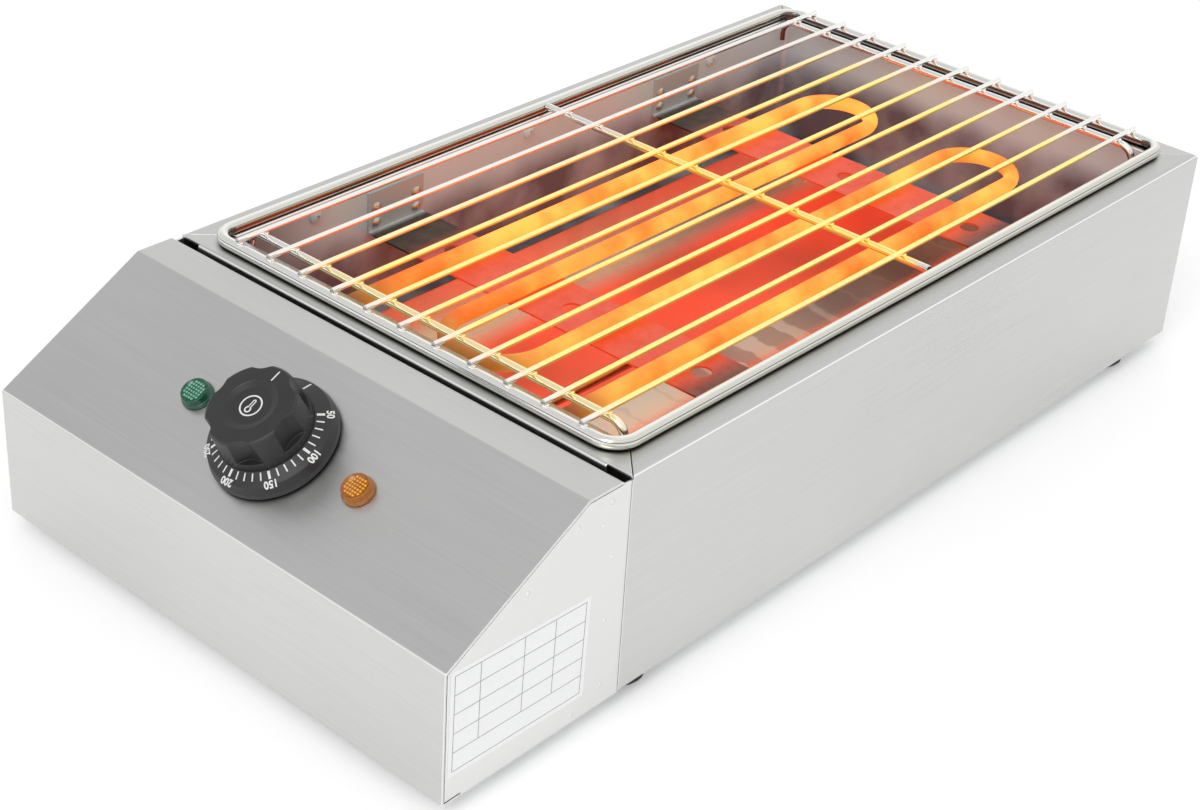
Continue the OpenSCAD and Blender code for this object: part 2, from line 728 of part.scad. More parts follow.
module bulkhead_nuts() color("silver") placed() both_sides() for (z = join_z)
    translate([join_x, bulkhead_y, z]) rotate([90, 0, 0]) nut(screw_r + turn_gap);

// ---- thermostat and knob ----

// Thermostat behind the slope: mounting plate, box, collar round the spindle, tabs
module thermostat_body() color("dimgray") placed() on_slope() {
    top = -sheet_t - lay_gap;
    difference() {
        union() {
            translate([-stat_w / 2, -stat_l / 2, top - stat_d]) cube([stat_w, stat_l, stat_d - 1.5]);
            translate([-stat_w / 2 - 2, -11, top - 1.5]) cube([stat_w + 4, 22, 1.5]);
            translate([0, 0, top]) cylinder(h = -top + 1.5, r = collar_r);
            for (x = [-12, 0, 12], y = [-8, 8]) translate([x - 3, y - 0.4, top - stat_d - 8])
                cube([6, 0.8, 8]);
        }
        translate([0, 0, -14]) cylinder(h = 20, r = spindle_r + turn_gap);
        both_sides() translate([panel_screw_x, 0, -9]) cylinder(h = 10, r = screw_r + hole_gap);
    }
}

spindle_top = 20;

// Spindle with a flat for the knob
module thermostat_spindle() color("silver") placed() on_slope() difference() {
    translate([0, 0, -13]) cylinder(h = spindle_top + 13, r = spindle_r);
    translate([spindle_r * 0.5, -5, 5]) cube([5, 10, 20]);
}

module thermostat_screws() color("silver") placed() on_slope()
    both_sides() translate([panel_screw_x, 0, 0]) screw(6);

skirt_lift = 1.2;
skirt_top = 10.6;
skirt_edge = 7.9;

// Dial skirt: a shallow cone over a bevelled rim, hollow below, on a hub
module knob_skirt() color("#2b2b2b") placed() on_slope() difference() {
    rotate_extrude($fn = 96) polygon([[skirt_r - 2.2, skirt_lift], [skirt_r, skirt_lift],
        [skirt_r, 3.6], [skirt_r - 1.2, skirt_edge], [grip_r + 0.3, skirt_top], [0, skirt_top],
        [0, 2.6], [7, 2.6], [7, 8.2], [grip_r - 1.3, 8.2], [skirt_r - 3.2, 6.2]]);
    difference() {
        translate([0, 0, -1]) cylinder(h = 20, r = spindle_r + turn_gap);
        translate([spindle_r * 0.5 + turn_gap, -5, 5]) cube([5, 10, 20]);
    }
}

flute_r = 9.5;
flute_foot = 14.2;
flute_deep = 3.4;
flute_shallow = 2.4;
dish_d = 0.9;

// Grip with tilted finger flutes, a rounded top edge and a dish on top
module knob_grip() color("#2b2b2b") placed() on_slope() {
    edge_r = 1.8;
    top_r = grip_r - 0.8;
    reach = grip_r + flute_r - flute_deep;
    lean = atan2(top_r - flute_shallow - grip_r + flute_deep, grip_top - flute_foot);
    difference() {
        rotate_extrude($fn = 96) difference() {
            union() {
                polygon([[0, skirt_top], [grip_r, skirt_top], [top_r, grip_top - edge_r],
                    [top_r - edge_r, grip_top], [12.6, grip_top + 0.3], [0, grip_top + 0.3]]);
                translate([top_r - edge_r, grip_top - edge_r]) circle(r = edge_r);
            }
            polygon([[-1, grip_top - dish_d], [9.2, grip_top - dish_d], [12, grip_top + 0.1],
                [12.4, grip_top + 0.4], [-1, grip_top + 0.4]]);
        }
        for (i = [0:flute_n - 1]) rotate([0, 0, 90 + (i + 0.5) * 360 / flute_n])
            translate([reach, 0, flute_foot]) rotate([0, lean, 0])
                cylinder(h = 25, r = flute_r);
        difference() {
            translate([0, 0, 0]) cylinder(h = spindle_top + 0.3, r = spindle_r + turn_gap);
            translate([spindle_r * 0.5 + turn_gap, -5, 5]) cube([5, 10, 20]);
        }
    }
}

// ---- lamps ----

lens_rim = 1.6;
lens_h = 5.8;

module lamp_lens(x) placed() on_slope(x) translate([0, 0, weld_gap]) {
    r = lens_d / 2;
    dome = lens_h - lens_rim;
    ball = ((r - 0.6) * (r - 0.6) + dome * dome) / (2 * dome);
    cylinder(h = lens_rim, r = r);
    intersection() {
        translate([0, 0, lens_rim]) cylinder(h = dome, r = r - 0.6);
        translate([0, 0, lens_h - ball]) sphere(r = ball);
    }
}

module lamp_lens_green() color("seagreen") lamp_lens(-lamp_x);
module lamp_lens_amber() color("darkorange") lamp_lens(lamp_x);

// Lamp bodies through the sheet, with two tabs each
module lamp_bodies() color("ivory") placed() both_sides() on_slope(lamp_x) {
    translate([0, 0, -22]) cylinder(h = 22, r = lamp_body_r);
    for (y = [-3, 3]) translate([-2.4, y - 0.4, -30]) cube([4.8, 0.8, 8]);
}

module lamp_nuts() color("ivory") placed() both_sides() on_slope(lamp_x)
    translate([0, 0, -sheet_t - lay_gap - 3]) nut(lamp_body_r + turn_gap, 9.5, 3);

// ---- wiring inside the housing ----

block_x0 = -96;
block_y = bulkhead_y - 35;
block_w = 48;
block_d = 20;
block_h = 16;
block_screw_xs = [block_x0 + 4, block_x0 + block_w - 4];

// Three-pole terminal block
module terminal_block() color("ivory") placed() difference() {
    union() {
        block(block_x0, block_x0 + block_w, block_y, block_y + block_d, housing_top,
            housing_top + 5);
        block(block_x0 + 8, block_x0 + block_w - 8, block_y + 3, block_y + block_d - 3,
            housing_top, housing_top + block_h);
    }
    for (i = [0:2]) translate([block_x0 + 13.5 + i * 10.5, block_y + block_d / 2,
        housing_top + 6]) cylinder(h = block_h, r = 2.6);
    for (x = block_screw_xs) translate([x, block_y + block_d / 2, 0])
        cylinder(h = 40, r = screw_r + hole_gap);
}

module terminal_screws() color("silver") placed() {
    for (x = block_screw_xs) translate([x, block_y + block_d / 2, housing_top + 5]) screw(7);
    for (i = [0:2]) translate([block_x0 + 13.5 + i * 10.5, block_y + block_d / 2,
        housing_top + 6]) cylinder(h = block_h - 8, r = 2.4);
}

wire_r = 1.3;
wire_bend = 5;
tab_h = -sheet_t - lay_gap - stat_d - 8.2;
lamp_tab_h = -30.2;

// A point given across, up the slope and out of it
function slope_point(x, s, h) = [x, (panel_s + s) * cos(slope_a) - h * sin(slope_a),
    front_top_z + (panel_s + s) * sin(slope_a) + h * cos(slope_a)];

// Insulated wires between the block, the thermostat, the lamps and the element's pins
module wiring() color("crimson") placed() {
    z = housing_top + 10.5;
    y = block_y + block_d - 2.8;
    x = block_x0 + 13.5;
    back = bulkhead_y - 9;
    px = outer_run_x;
    bent_bar([[x, y, z], [x, back, z], [x, back, tube_z - 38], [x, pin_y - 12, tube_z - 38],
        [x, pin_y - 12, tube_z], [-px, pin_y - 12, tube_z], [-px, pin_y - 0.2, tube_z]],
        wire_r, wire_bend);
    bent_bar([[x + 10.5, y, z], [x + 10.5, back, z], [x + 10.5, back, z + 22],
        [-12, back, z + 22], slope_point(-12, 8, tab_h - 14), slope_point(-12, 8, tab_h)],
        wire_r, wire_bend);
    bent_bar([[x + 21, y, z], [x + 21, back, z], [x + 21, back, z + 12], [0, back, z + 12],
        slope_point(0, 8, tab_h - 16), slope_point(0, 8, tab_h)], wire_r, wire_bend);
    turn = slope_point(12, 8, tab_h - 13);
    bent_bar([slope_point(12, 8, tab_h), turn, [px, turn[1], turn[2]], [px, turn[1], tube_z],
        [px, pin_y - 0.2, tube_z]], wire_r, 4);
    for (s = [-1, 1]) bent_bar([slope_point(s * lamp_x, 3, lamp_tab_h),
        slope_point(s * lamp_x, 3, tab_h - 7), slope_point(s * 12, -8, tab_h - 7),
        slope_point(s * 12, -8, tab_h)], wire_r, wire_bend);
    bent_bar([slope_point(-lamp_x, -3, lamp_tab_h), slope_point(-lamp_x, -3, tab_h - 19),
        slope_point(lamp_x, -3, tab_h - 19), slope_point(lamp_x, -3, lamp_tab_h)],
        wire_r, wire_bend);
}

// Rubber grommet that the cord enters through
module cord_grommet() color("#222222") placed() translate([-panel_x, grommet_y, grommet_z])
    rotate([0, 90, 0]) difference() {
        union() {
            translate([0, 0, -grommet_proud - panel_in])
                cylinder(h = grommet_proud + panel_in, r = 10);
            cylinder(h = sheet_t, r = grommet_neck_r);
            translate([0, 0, sheet_t]) cylinder(h = 2, r = 9);
        }
        translate([0, 0, -5]) cylinder(h = 20, r = grommet_bore_r);
    }

clamp_x = -half_w + 22;
clamp_screw_dy = 12;
clamp_w = 9;

// Two-part bridge that grips the cord inside the housing
module cord_clamp() color("ivory") placed() difference() {
    union() {
        block(clamp_x - clamp_w / 2, clamp_x + clamp_w / 2, grommet_y - 17, grommet_y + 17,
            housing_top, grommet_z - 0.5);
        block(clamp_x - clamp_w / 2, clamp_x + clamp_w / 2, grommet_y - 17, grommet_y + 17,
            grommet_z + 0.5, grommet_z + 9);
    }
    translate([clamp_x - clamp_w, grommet_y, grommet_z]) rotate([0, 90, 0])
        cylinder(h = 2 * clamp_w, r = grommet_bore_r);
    for (s = [-1, 1]) translate([clamp_x, grommet_y + s * clamp_screw_dy, 0])
        cylinder(h = 60, r = screw_r + hole_gap);
}

module clamp_screws() color("silver") placed() for (s = [-1, 1])
    translate([clamp_x, grommet_y + s * clamp_screw_dy, grommet_z + 9])
        screw(grommet_z + 9 - housing_z + 1);

// ---- feet ----

foot_pocket_r = 5;
foot_pocket_h = 3.5;

// Rubber feet with a bevelled tread and a pocket for the screw's head
module rubber_feet() color("#1e1e1e") placed() both_sides() for (y = foot_ys)
    translate([foot_x, y, 0]) difference() {
        rotate_extrude() polygon([[0, 0], [foot_d / 2 - 2, 0], [foot_d / 2, 2.2],
            [foot_d / 2, foot_h - 0.6], [foot_d / 2 - 0.6, foot_h], [0, foot_h]]);
        translate([0, 0, -1]) cylinder(h = foot_pocket_h + 1, r = foot_pocket_r);
        cylinder(h = foot_h + 1, r = screw_r + hole_gap);
    }

module foot_screws() color("silver") placed() both_sides() for (y = foot_ys)
    translate([foot_x, y, foot_pocket_h]) rotate([180, 0, 0])
        screw(base_top + 4 - foot_pocket_h);

module foot_nuts() color("silver") placed() both_sides() for (y = foot_ys)
    translate([foot_x, y, base_top]) nut(screw_r + turn_gap);

side_wall_left();
side_wall_right();
rear_wall();
front_bulkhead();
base_plate();
cooking_liner();
liner_screws();
element_carriers();
carrier_rivets();
heating_element();
element_bushings();
element_nuts();
element_pins();
thermostat_bulb();
capillary_tube();
drip_tray();
tray_front();
tray_guides();
rack_frame();
rack_long_wires();
rack_cross_wires();
housing_cover();
housing_side_left();
housing_side_right();
housing_base();
base_screws();
bulkhead_screws();
bulkhead_nuts();
thermostat_body();
thermostat_spindle();
thermostat_screws();
knob_skirt();
knob_grip();
lamp_lens_green();
lamp_lens_amber();
lamp_bodies();
lamp_nuts();
terminal_block();
terminal_screws();
wiring();
cord_grommet();
cord_clamp();
clamp_screws();
rubber_feet();
foot_screws();
foot_nuts();
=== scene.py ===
import math

import bpy
from mathutils import Matrix, Vector


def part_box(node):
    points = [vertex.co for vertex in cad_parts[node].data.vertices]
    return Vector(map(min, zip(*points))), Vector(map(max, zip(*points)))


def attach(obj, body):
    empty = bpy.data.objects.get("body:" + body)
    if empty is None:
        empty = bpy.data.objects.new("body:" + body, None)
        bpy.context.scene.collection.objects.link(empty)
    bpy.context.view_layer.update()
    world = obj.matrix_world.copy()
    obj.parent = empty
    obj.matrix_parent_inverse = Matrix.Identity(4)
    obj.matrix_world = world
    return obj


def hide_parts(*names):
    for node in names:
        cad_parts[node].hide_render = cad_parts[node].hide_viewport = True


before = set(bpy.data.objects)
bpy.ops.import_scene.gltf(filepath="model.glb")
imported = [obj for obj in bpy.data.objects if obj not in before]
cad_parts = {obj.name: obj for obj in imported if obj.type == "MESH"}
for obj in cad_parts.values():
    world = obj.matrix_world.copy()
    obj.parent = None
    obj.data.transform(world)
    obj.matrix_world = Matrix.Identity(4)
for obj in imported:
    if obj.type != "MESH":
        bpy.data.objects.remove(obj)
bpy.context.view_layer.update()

# ---- Camera ----
# A long lens from above the right front corner, with a little shift for the framing.
eye = bpy.data.cameras.new("camera")
eye.lens, eye.sensor_width = 68.04, 36
eye.shift_x, eye.shift_y = -0.0056, -0.0529
camera = bpy.data.objects.new("camera", eye)
camera.location = (0.61445, -0.762225, 0.6044)
camera.rotation_euler = [math.radians(turn) for turn in (60.20635, -3.24008, 42.00759)]
bpy.context.collection.objects.link(camera)
bpy.context.scene.camera = camera
bpy.context.scene.view_settings.view_transform = "Standard"

# ---- Table top, studio and lamps ----
# A plain white table under soft light. For the camera, and in metal and glass, the table
# shows a little lighter than it is lit, so that it is white and still keeps the shadow.


def linear(hexed):
    """An sRGB hex colour as linear RGBA."""
    parts = [int(hexed[i:i + 2], 16) / 255 for i in (1, 3, 5)]
    return (*[p / 12.92 if p <= 0.04045 else ((p + 0.055) / 1.055) ** 2.4 for p in parts], 1)


def add(tree, kind, inputs=None, **settings):
    """Adds a node with its settings, and sets or links its inputs."""
    node = tree.nodes.new(kind)
    for name, value in settings.items():
        setattr(node, name, value)
    for key, value in (inputs or {}).items():
        if isinstance(value, bpy.types.NodeSocket):
            tree.links.new(value, node.inputs[key])
        else:
            node.inputs[key].default_value = value
    return node


def empty_material(name):
    made = bpy.data.materials.new(name)
    made.use_nodes = True
    made.node_tree.nodes.clear()
    return made, made.node_tree


def link(name, mesh, finish=None):
    """An object at the origin that shows the mesh."""
    made = bpy.data.objects.new(name, mesh)
    bpy.context.collection.objects.link(made)
    if finish:
        mesh.materials.clear()
        mesh.materials.append(finish)
    return made


def seen(tree):
    """1 for what the camera sees straight, or in metal or glass."""
    path = add(tree, "ShaderNodeLightPath")
    both = add(tree, "ShaderNodeMath", {0: path.outputs["Is Camera Ray"],
               1: path.outputs["Is Glossy Ray"]}, operation="MAXIMUM")
    return add(tree, "ShaderNodeMath", {0: both.outputs[0],
               1: path.outputs["Is Transmission Ray"]}, operation="MAXIMUM").outputs[0]


# White laminate: a trace of unevenness keeps it from looking like a flat colour
table_top, tree = empty_material("white_laminate")
place = add(tree, "ShaderNodeTexCoord")
cloud = add(tree, "ShaderNodeTexNoise", {"Vector": place.outputs["Object"], "Scale": 3})
tone = add(tree, "ShaderNodeMix", {0: cloud.outputs[0], 6: linear("#F4F4F4"),
           7: linear("#F8F8F8")}, data_type="RGBA")
lit = add(tree, "ShaderNodeBsdfDiffuse", {"Color": tone.outputs[2]})
lift = add(tree, "ShaderNodeMath", {0: seen(tree), 1: 0.2}, operation="MULTIPLY")
glow = add(tree, "ShaderNodeEmission", {"Strength": lift.outputs[0]})
whole = add(tree, "ShaderNodeAddShader", {0: lit.outputs[0], 1: glow.outputs[0]})
add(tree, "ShaderNodeOutputMaterial", {"Surface": whole.outputs[0]})
floor_half = 12
floor_mesh = bpy.data.meshes.new("table_top")
floor_mesh.from_pydata([(-floor_half, -floor_half, 0), (floor_half, -floor_half, 0),
                        (floor_half, floor_half, 0), (-floor_half, floor_half, 0)], [],
                       [(0, 1, 2, 3)])
link("table_top", floor_mesh, table_top)

# The studio is white, with a grey wall high on the left
studio = bpy.data.worlds.new("studio")
studio.use_nodes = True
bpy.context.scene.world = studio
tree = studio.node_tree
tree.nodes.clear()
place = add(tree, "ShaderNodeTexCoord")
aim = add(tree, "ShaderNodeVectorMath", {0: place.outputs["Generated"],
          1: (-0.64, -0.17, 0.75)}, operation="DOT_PRODUCT")
high = add(tree, "ShaderNodeMapRange", {"Value": aim.outputs["Value"], "From Min": 0.68,
           "From Max": 0.92}, interpolation_type="SMOOTHSTEP")
tone = add(tree, "ShaderNodeMix", {0: high.outputs["Result"], 6: linear("#FFFFFF"),
           7: linear("#D9DADB")}, data_type="RGBA")
sky = add(tree, "ShaderNodeBackground", {"Color": tone.outputs[2], "Strength": 0.93})
add(tree, "ShaderNodeOutputWorld", {"Surface": sky.outputs[0]})

# One large softbox high in front
lamp = bpy.data.lights.new("softbox", "AREA")
lamp.size, lamp.energy = 1.2, 12
softbox = bpy.data.objects.new("softbox", lamp)
softbox.location = (0.5, -1.8, 1.9)
softbox.rotation_euler = (-softbox.location).to_track_quat("-Z", "Y").to_euler()
bpy.context.collection.objects.link(softbox)

# ---- Outer sheets ----
# Side walls, rear wall and bulkhead of brushed stainless steel, folded over into a rim with
# a hem. The grain runs along each sheet, and the sheets are screwed and spot welded.


def brushed_steel(name, dark, light, run, rough, patch=9):
    """Brushed stainless sheet with the grain along the axis run. The grit leaves lines
    0.3 mm apart, drawn 1 mm apart and 70 mm long so that they show. Painted shade greys
    the sheet in crevices and near other parts; edges and upward bends get a painted highlight."""
    made, tree = empty_material(name)
    place = add(tree, "ShaderNodeTexCoord")
    across, along = 1000, 14
    scale = [across, across, across]
    scale["XYZ".index(run)] = along
    grain = add(tree, "ShaderNodeMapping", {"Vector": place.outputs["Object"], "Scale": scale})
    lines = add(tree, "ShaderNodeTexNoise", {"Vector": grain.outputs[0], "Scale": 1,
                "Detail": 3, "Roughness": 0.65})
    patches = add(tree, "ShaderNodeTexNoise", {"Vector": place.outputs["Object"],
                  "Scale": patch, "Detail": 2})
    blend = add(tree, "ShaderNodeMix", {0: 0.5, 2: lines.outputs[0], 3: patches.outputs[0]})
    tone = add(tree, "ShaderNodeMix", {0: blend.outputs[0], 6: linear(dark),
               7: linear(light)}, data_type="RGBA")
    sheen = add(tree, "ShaderNodeMapRange", {"Value": blend.outputs[0], "From Min": 0.3,
                "From Max": 0.7, "To Min": rough - 0.05, "To Max": rough + 0.06})
    # Painted shade: the sheet is mixed towards grey where other parts stand within a few
    # millimetres, in crevices and by the rack's rods.
    crevice = add(tree, "ShaderNodeAmbientOcclusion", {"Distance": 0.005}, samples=8)
    painted_crevice_shade = add(tree, "ShaderNodeMapRange", {"Value": crevice.outputs["AO"], "From Min": 0.3,
                "From Max": 0.75})
    tone = add(tree, "ShaderNodeMix", {0: painted_crevice_shade.outputs[0], 6: linear("#8F8F8D"),
               7: tone.outputs[2]}, data_type="RGBA")
    # Painted highlight: sharp edges, and bends facing 34 to 58 degrees from upright, are mixed
    # to white.
    edges = add(tree, "ShaderNodeBevel", {"Radius": 0.0007}, samples=6)
    surface = add(tree, "ShaderNodeNewGeometry")
    sharp = add(tree, "ShaderNodeVectorMath", {0: edges.outputs[0],
                1: surface.outputs["Normal"]}, operation="DOT_PRODUCT")
    painted_edge_highlight = add(tree, "ShaderNodeMapRange", {"Value": sharp.outputs["Value"],
               "From Min": 0.99, "From Max": 0.9})
    facing = add(tree, "ShaderNodeSeparateXYZ", {"Vector": surface.outputs["Normal"]})
    bend_z, bend_spread = 0.68, 0.15  # normals 34 to 58 degrees from upright
    painted_fold_highlight = add(tree, "ShaderNodeMath", {0: facing.outputs["Z"], 1: bend_z, 2: bend_spread},
               operation="COMPARE")
    painted_edge_highlight = add(tree, "ShaderNodeMath", {0: painted_edge_highlight.outputs[0], 1: painted_fold_highlight.outputs[0]},
               operation="MAXIMUM")
    tone = add(tree, "ShaderNodeMix", {0: painted_edge_highlight.outputs[0], 6: tone.outputs[2],
               7: linear("#FFFFFF")}, data_type="RGBA")
    relief = add(tree, "ShaderNodeBump", {"Strength": 0.06, "Distance": 0.0001,
                 "Height": lines.outputs[0], "Normal": edges.outputs[0]})
    steel = add(tree, "ShaderNodeBsdfPrincipled", {"Base Color": tone.outputs[2],
                "Metallic": 1, "Roughness": sheen.outputs[0], "Normal": relief.outputs[0]})
    add(tree, "ShaderNodeOutputMaterial", {"Surface": steel.outputs[0]})
    return made


def dress(finish, *nodes):
    """Puts a finish on solids of the frame."""
    for node in nodes:
        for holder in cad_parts[node].material_slots:
            holder.material = finish


# Grain along the long sheets, across the short ones: soft, slightly streaked reflections
long_steel = brushed_steel("brushed_stainless_lengthwise", "#BEBFBE", "#DBDBD9", "Y", 0.3)
cross_steel = brushed_steel("brushed_stainless_crosswise", "#C9C9C7", "#D9D9D6", "X", 0.3)
dress(long_steel, "side_wall_left", "side_wall_right")
dress(cross_steel, "rear_wall", "front_bulkhead", "tray_front")

# ---- Floor sheets and guides ----
# Zinc-plated sheet under the body and the housing, and the angle strips that the tray
# runs in. Plain zinc plating is bluish grey, with cloudy patches.
zinc, tree = empty_material("zinc_plated_sheet")
place = add(tree, "ShaderNodeTexCoord")
spangle = add(tree, "ShaderNodeTexVoronoi", {"Vector": place.outputs["Object"], "Scale": 160,
              "Randomness": 1})
cloud = add(tree, "ShaderNodeTexNoise", {"Vector": place.outputs["Object"], "Scale": 14,
            "Detail": 3})
mottle = add(tree, "ShaderNodeMix", {0: 0.75, 2: spangle.outputs["Distance"],
             3: cloud.outputs[0]})
tone = add(tree, "ShaderNodeMix", {0: mottle.outputs[0], 6: linear("#A9ADB0"),
           7: linear("#D2D5D6")}, data_type="RGBA")
sheen = add(tree, "ShaderNodeMapRange", {"Value": mottle.outputs[0], "To Min": 0.3,
            "To Max": 0.55})
metal = add(tree, "ShaderNodeBsdfPrincipled", {"Base Color": tone.outputs[2], "Metallic": 1,
            "Roughness": sheen.outputs[0]})
add(tree, "ShaderNodeOutputMaterial", {"Surface": metal.outputs[0]})
dress(zinc, "base_plate", "housing_base", "tray_guides")

# ---- Control housing ----
# Cover folded from one finely brushed sheet, with side panels behind its edges. The
# panels' flanges are spot welded, and each weld shows as a faint round mark.
cover_steel = brushed_steel("fine_brushed_stainless", "#C2C2C0", "#E0E0DE", "X", 0.34, 6)
panel_steel = brushed_steel("fine_brushed_panel", "#DADAD9", "#E8E8E7", "Y", 0.34, 6)
dress(cover_steel, "housing_cover")
dress(panel_steel, "housing_side_left", "housing_side_right")

# Millimetres from the middle of the body, its front and the table, as places in the frame
origin_x, origin_y = 0.75, -281.625


def at(x, y, z):
    return Vector((x + origin_x, y + origin_y, z)) / 1000


def geometry_tree(name, **sizes):
    """A Geometry Nodes tree with named inputs for the sizes and for the material."""
    tree = bpy.data.node_groups.new(name, "GeometryNodeTree")
    tree.interface.new_socket("Geometry", in_out="INPUT", socket_type="NodeSocketGeometry")
    for size, kind in sizes.items():
        tree.interface.new_socket(size, in_out="INPUT", socket_type="NodeSocket" + kind)
    tree.interface.new_socket("Finish", in_out="INPUT", socket_type="NodeSocketMaterial")
    tree.interface.new_socket("Geometry", in_out="OUTPUT", socket_type="NodeSocketGeometry")
    return tree, tree.nodes.new("NodeGroupInput")


def end_tree(tree, given, instances):
    """Instances made real, smooth only where asked, in the given material."""
    real = add(tree, "GeometryNodeRealizeInstances", {0: instances})
    painted = add(tree, "GeometryNodeSetMaterial", {"Geometry": real.outputs[0],
                  "Material": given.outputs["Finish"]})
    add(tree, "NodeGroupOutput", {0: painted.outputs[0]})


def grow(name, tree, points, finish, move=None, **sizes):
    """Runs the tree on the points and keeps the result as a plain mesh, moved by move."""
    seed = bpy.data.meshes.new(name)
    seed.from_pydata([tuple(point) for point in points], [], [])
    made = link(name, seed)
    modifier = made.modifiers.new("grow", "NODES")
    modifier.node_group = tree
    for item in tree.interface.items_tree:
        if item.in_out == "INPUT" and item.name in sizes:
            modifier[item.identifier] = sizes[item.name]
        if item.in_out == "INPUT" and item.name == "Finish":
            modifier[item.identifier] = finish
    ready = made.evaluated_get(bpy.context.evaluated_depsgraph_get())
    mesh = bpy.data.meshes.new_from_object(ready)
    made.modifiers.clear()
    made.data = mesh
    if move:
        mesh.transform(move)
    return made


# Low round bumps on the points, flattened along X
weld_marks, given = geometry_tree("weld_marks", Radius="Float", Height="Float")
ball = add(weld_marks, "GeometryNodeMeshUVSphere", {"Segments": 20, "Rings": 10,
           "Radius": 1.0})
low = add(weld_marks, "ShaderNodeCombineXYZ", {0: given.outputs["Height"],
          1: given.outputs["Radius"], 2: given.outputs["Radius"]})
spots = add(weld_marks, "GeometryNodeMeshToPoints", {"Mesh": given.outputs["Geometry"]})
placed = add(weld_marks, "GeometryNodeInstanceOnPoints", {"Points": spots.outputs[0],
             "Instance": ball.outputs["Mesh"], "Scale": low.outputs[0]})
end_tree(weld_marks, given, placed.outputs[0])

mark_places = [(91.3, 107.9), (86.7, 98.4), (72, 104), (93, 80.6), (91.3, 50), (90.9, 17.3),
               (73.5, 11), (44.3, 87.1)]
for side, node in (("right", "housing_side_right"), ("left", "housing_side_left")):
    low_corner, high_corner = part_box(node)
    face = high_corner[0] if side == "right" else low_corner[0]
    points = [(face, *at(0, y, z)[1:]) for y, z in mark_places]
    marks = grow("weld_marks_" + side, weld_marks, points, panel_steel,
                 Radius=0.0013, Height=0.00014)
    marks.data.shade_smooth()
    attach(marks, "grill_body")

# ---- Rating label ----
# A plain white paper label with a ruled, unprinted table, stuck a little askew on the
# right-hand panel.
label_t = 0.00006
label_w, label_h = 78.5, 50
label_corners = [(3.3, 70.6), (81.8, 67.3), (80.1, 17.9), (2.7, 19.7)]  # y, z, clockwise
rule_columns, rule_rows = (0, 0.19, 0.52, 0.76, 1), (0, 0.2, 0.4, 0.6, 0.8, 1)
side_margin, end_margin, rule_w = 0.03, 0.045, 0.3

# Uncoated paper: matt, very slightly mottled
paper, tree = empty_material("label_paper")
place = add(tree, "ShaderNodeTexCoord")
fibre = add(tree, "ShaderNodeTexNoise", {"Vector": place.outputs["Object"], "Scale": 900,
            "Detail": 2})
tone = add(tree, "ShaderNodeMix", {0: fibre.outputs[0], 6: linear("#F0F1F1"),
           7: linear("#FBFBFB")}, data_type="RGBA")
skin = add(tree, "ShaderNodeBsdfPrincipled", {"Base Color": tone.outputs[2], "Roughness": 0.6,
           "IOR": 1.5})
add(tree, "ShaderNodeOutputMaterial", {"Surface": skin.outputs[0]})

# Grey printing ink: dull, thinner here and there
ink, tree = empty_material("printing_ink")
place = add(tree, "ShaderNodeTexCoord")
wear = add(tree, "ShaderNodeTexNoise", {"Vector": place.outputs["Object"], "Scale": 500})
tone = add(tree, "ShaderNodeMix", {0: wear.outputs[0], 6: linear("#5A5D60"),
           7: linear("#8D9092")}, data_type="RGBA")
skin = add(tree, "ShaderNodeBsdfPrincipled", {"Base Color": tone.outputs[2], "Roughness": 0.5,
           "IOR": 1.5})
add(tree, "ShaderNodeOutputMaterial", {"Surface": skin.outputs[0]})

panel_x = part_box("housing_side_right")[1][0]


def on_label(u, v, lift):
    """A point of the label: u across and v down from the top left, as shares."""
    a, b, c, d = label_corners
    y, z = [(1 - v) * ((1 - u) * a[i] + u * b[i]) + v * ((1 - u) * d[i] + u * c[i])
            for i in (0, 1)]
    return (panel_x + lift, *at(0, y, z)[1:])


def slab(shares, low, high):
    """Vertices and faces of a thin plate on the label, from share ranges."""
    (u0, u1), (v0, v1) = shares
    points = [on_label(u, v, x) for x in (low, high)
              for u, v in ((u0, v0), (u1, v0), (u1, v1), (u0, v1))]
    return points, [(0, 1, 2, 3), (7, 6, 5, 4), (0, 4, 5, 1), (1, 5, 6, 2), (2, 6, 7, 3),
                    (3, 7, 4, 0)]


def solid_mesh(name, parts):
    """One mesh of several closed bodies."""
    points, faces = [], []
    for body_points, body_faces in parts:
        faces += [tuple(i + len(points) for i in face) for face in body_faces]
        points += body_points
    mesh = bpy.data.meshes.new(name)
    mesh.from_pydata([tuple(point) for point in points], [], faces)
    return mesh


label = link("rating_label", solid_mesh("rating_label", [slab(((0, 1), (0, 1)), 0, label_t)]),
             paper)
span, drop = 1 - 2 * side_margin, 1 - 2 * end_margin
half_u, half_v = rule_w / 2 / label_w, rule_w / 2 / label_h
column_top, row_top = label_t * 1.3, label_t * 1.2
rules = []
for share in rule_columns:
    u = side_margin + share * span
    foot = end_margin + (1 if share in (0, 1) else rule_rows[-2]) * drop
    rules.append(slab(((u - half_u, u + half_u), (end_margin, foot)), label_t, column_top))
for share in rule_rows:
    v = end_margin + share * drop
    rules.append(slab(((side_margin, 1 - side_margin), (v - half_v, v + half_v)), label_t,
                      row_top))
ruling = link("label_ruling", solid_mesh("label_ruling", rules), ink)
for piece in (label, ruling):
    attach(piece, "grill_body")
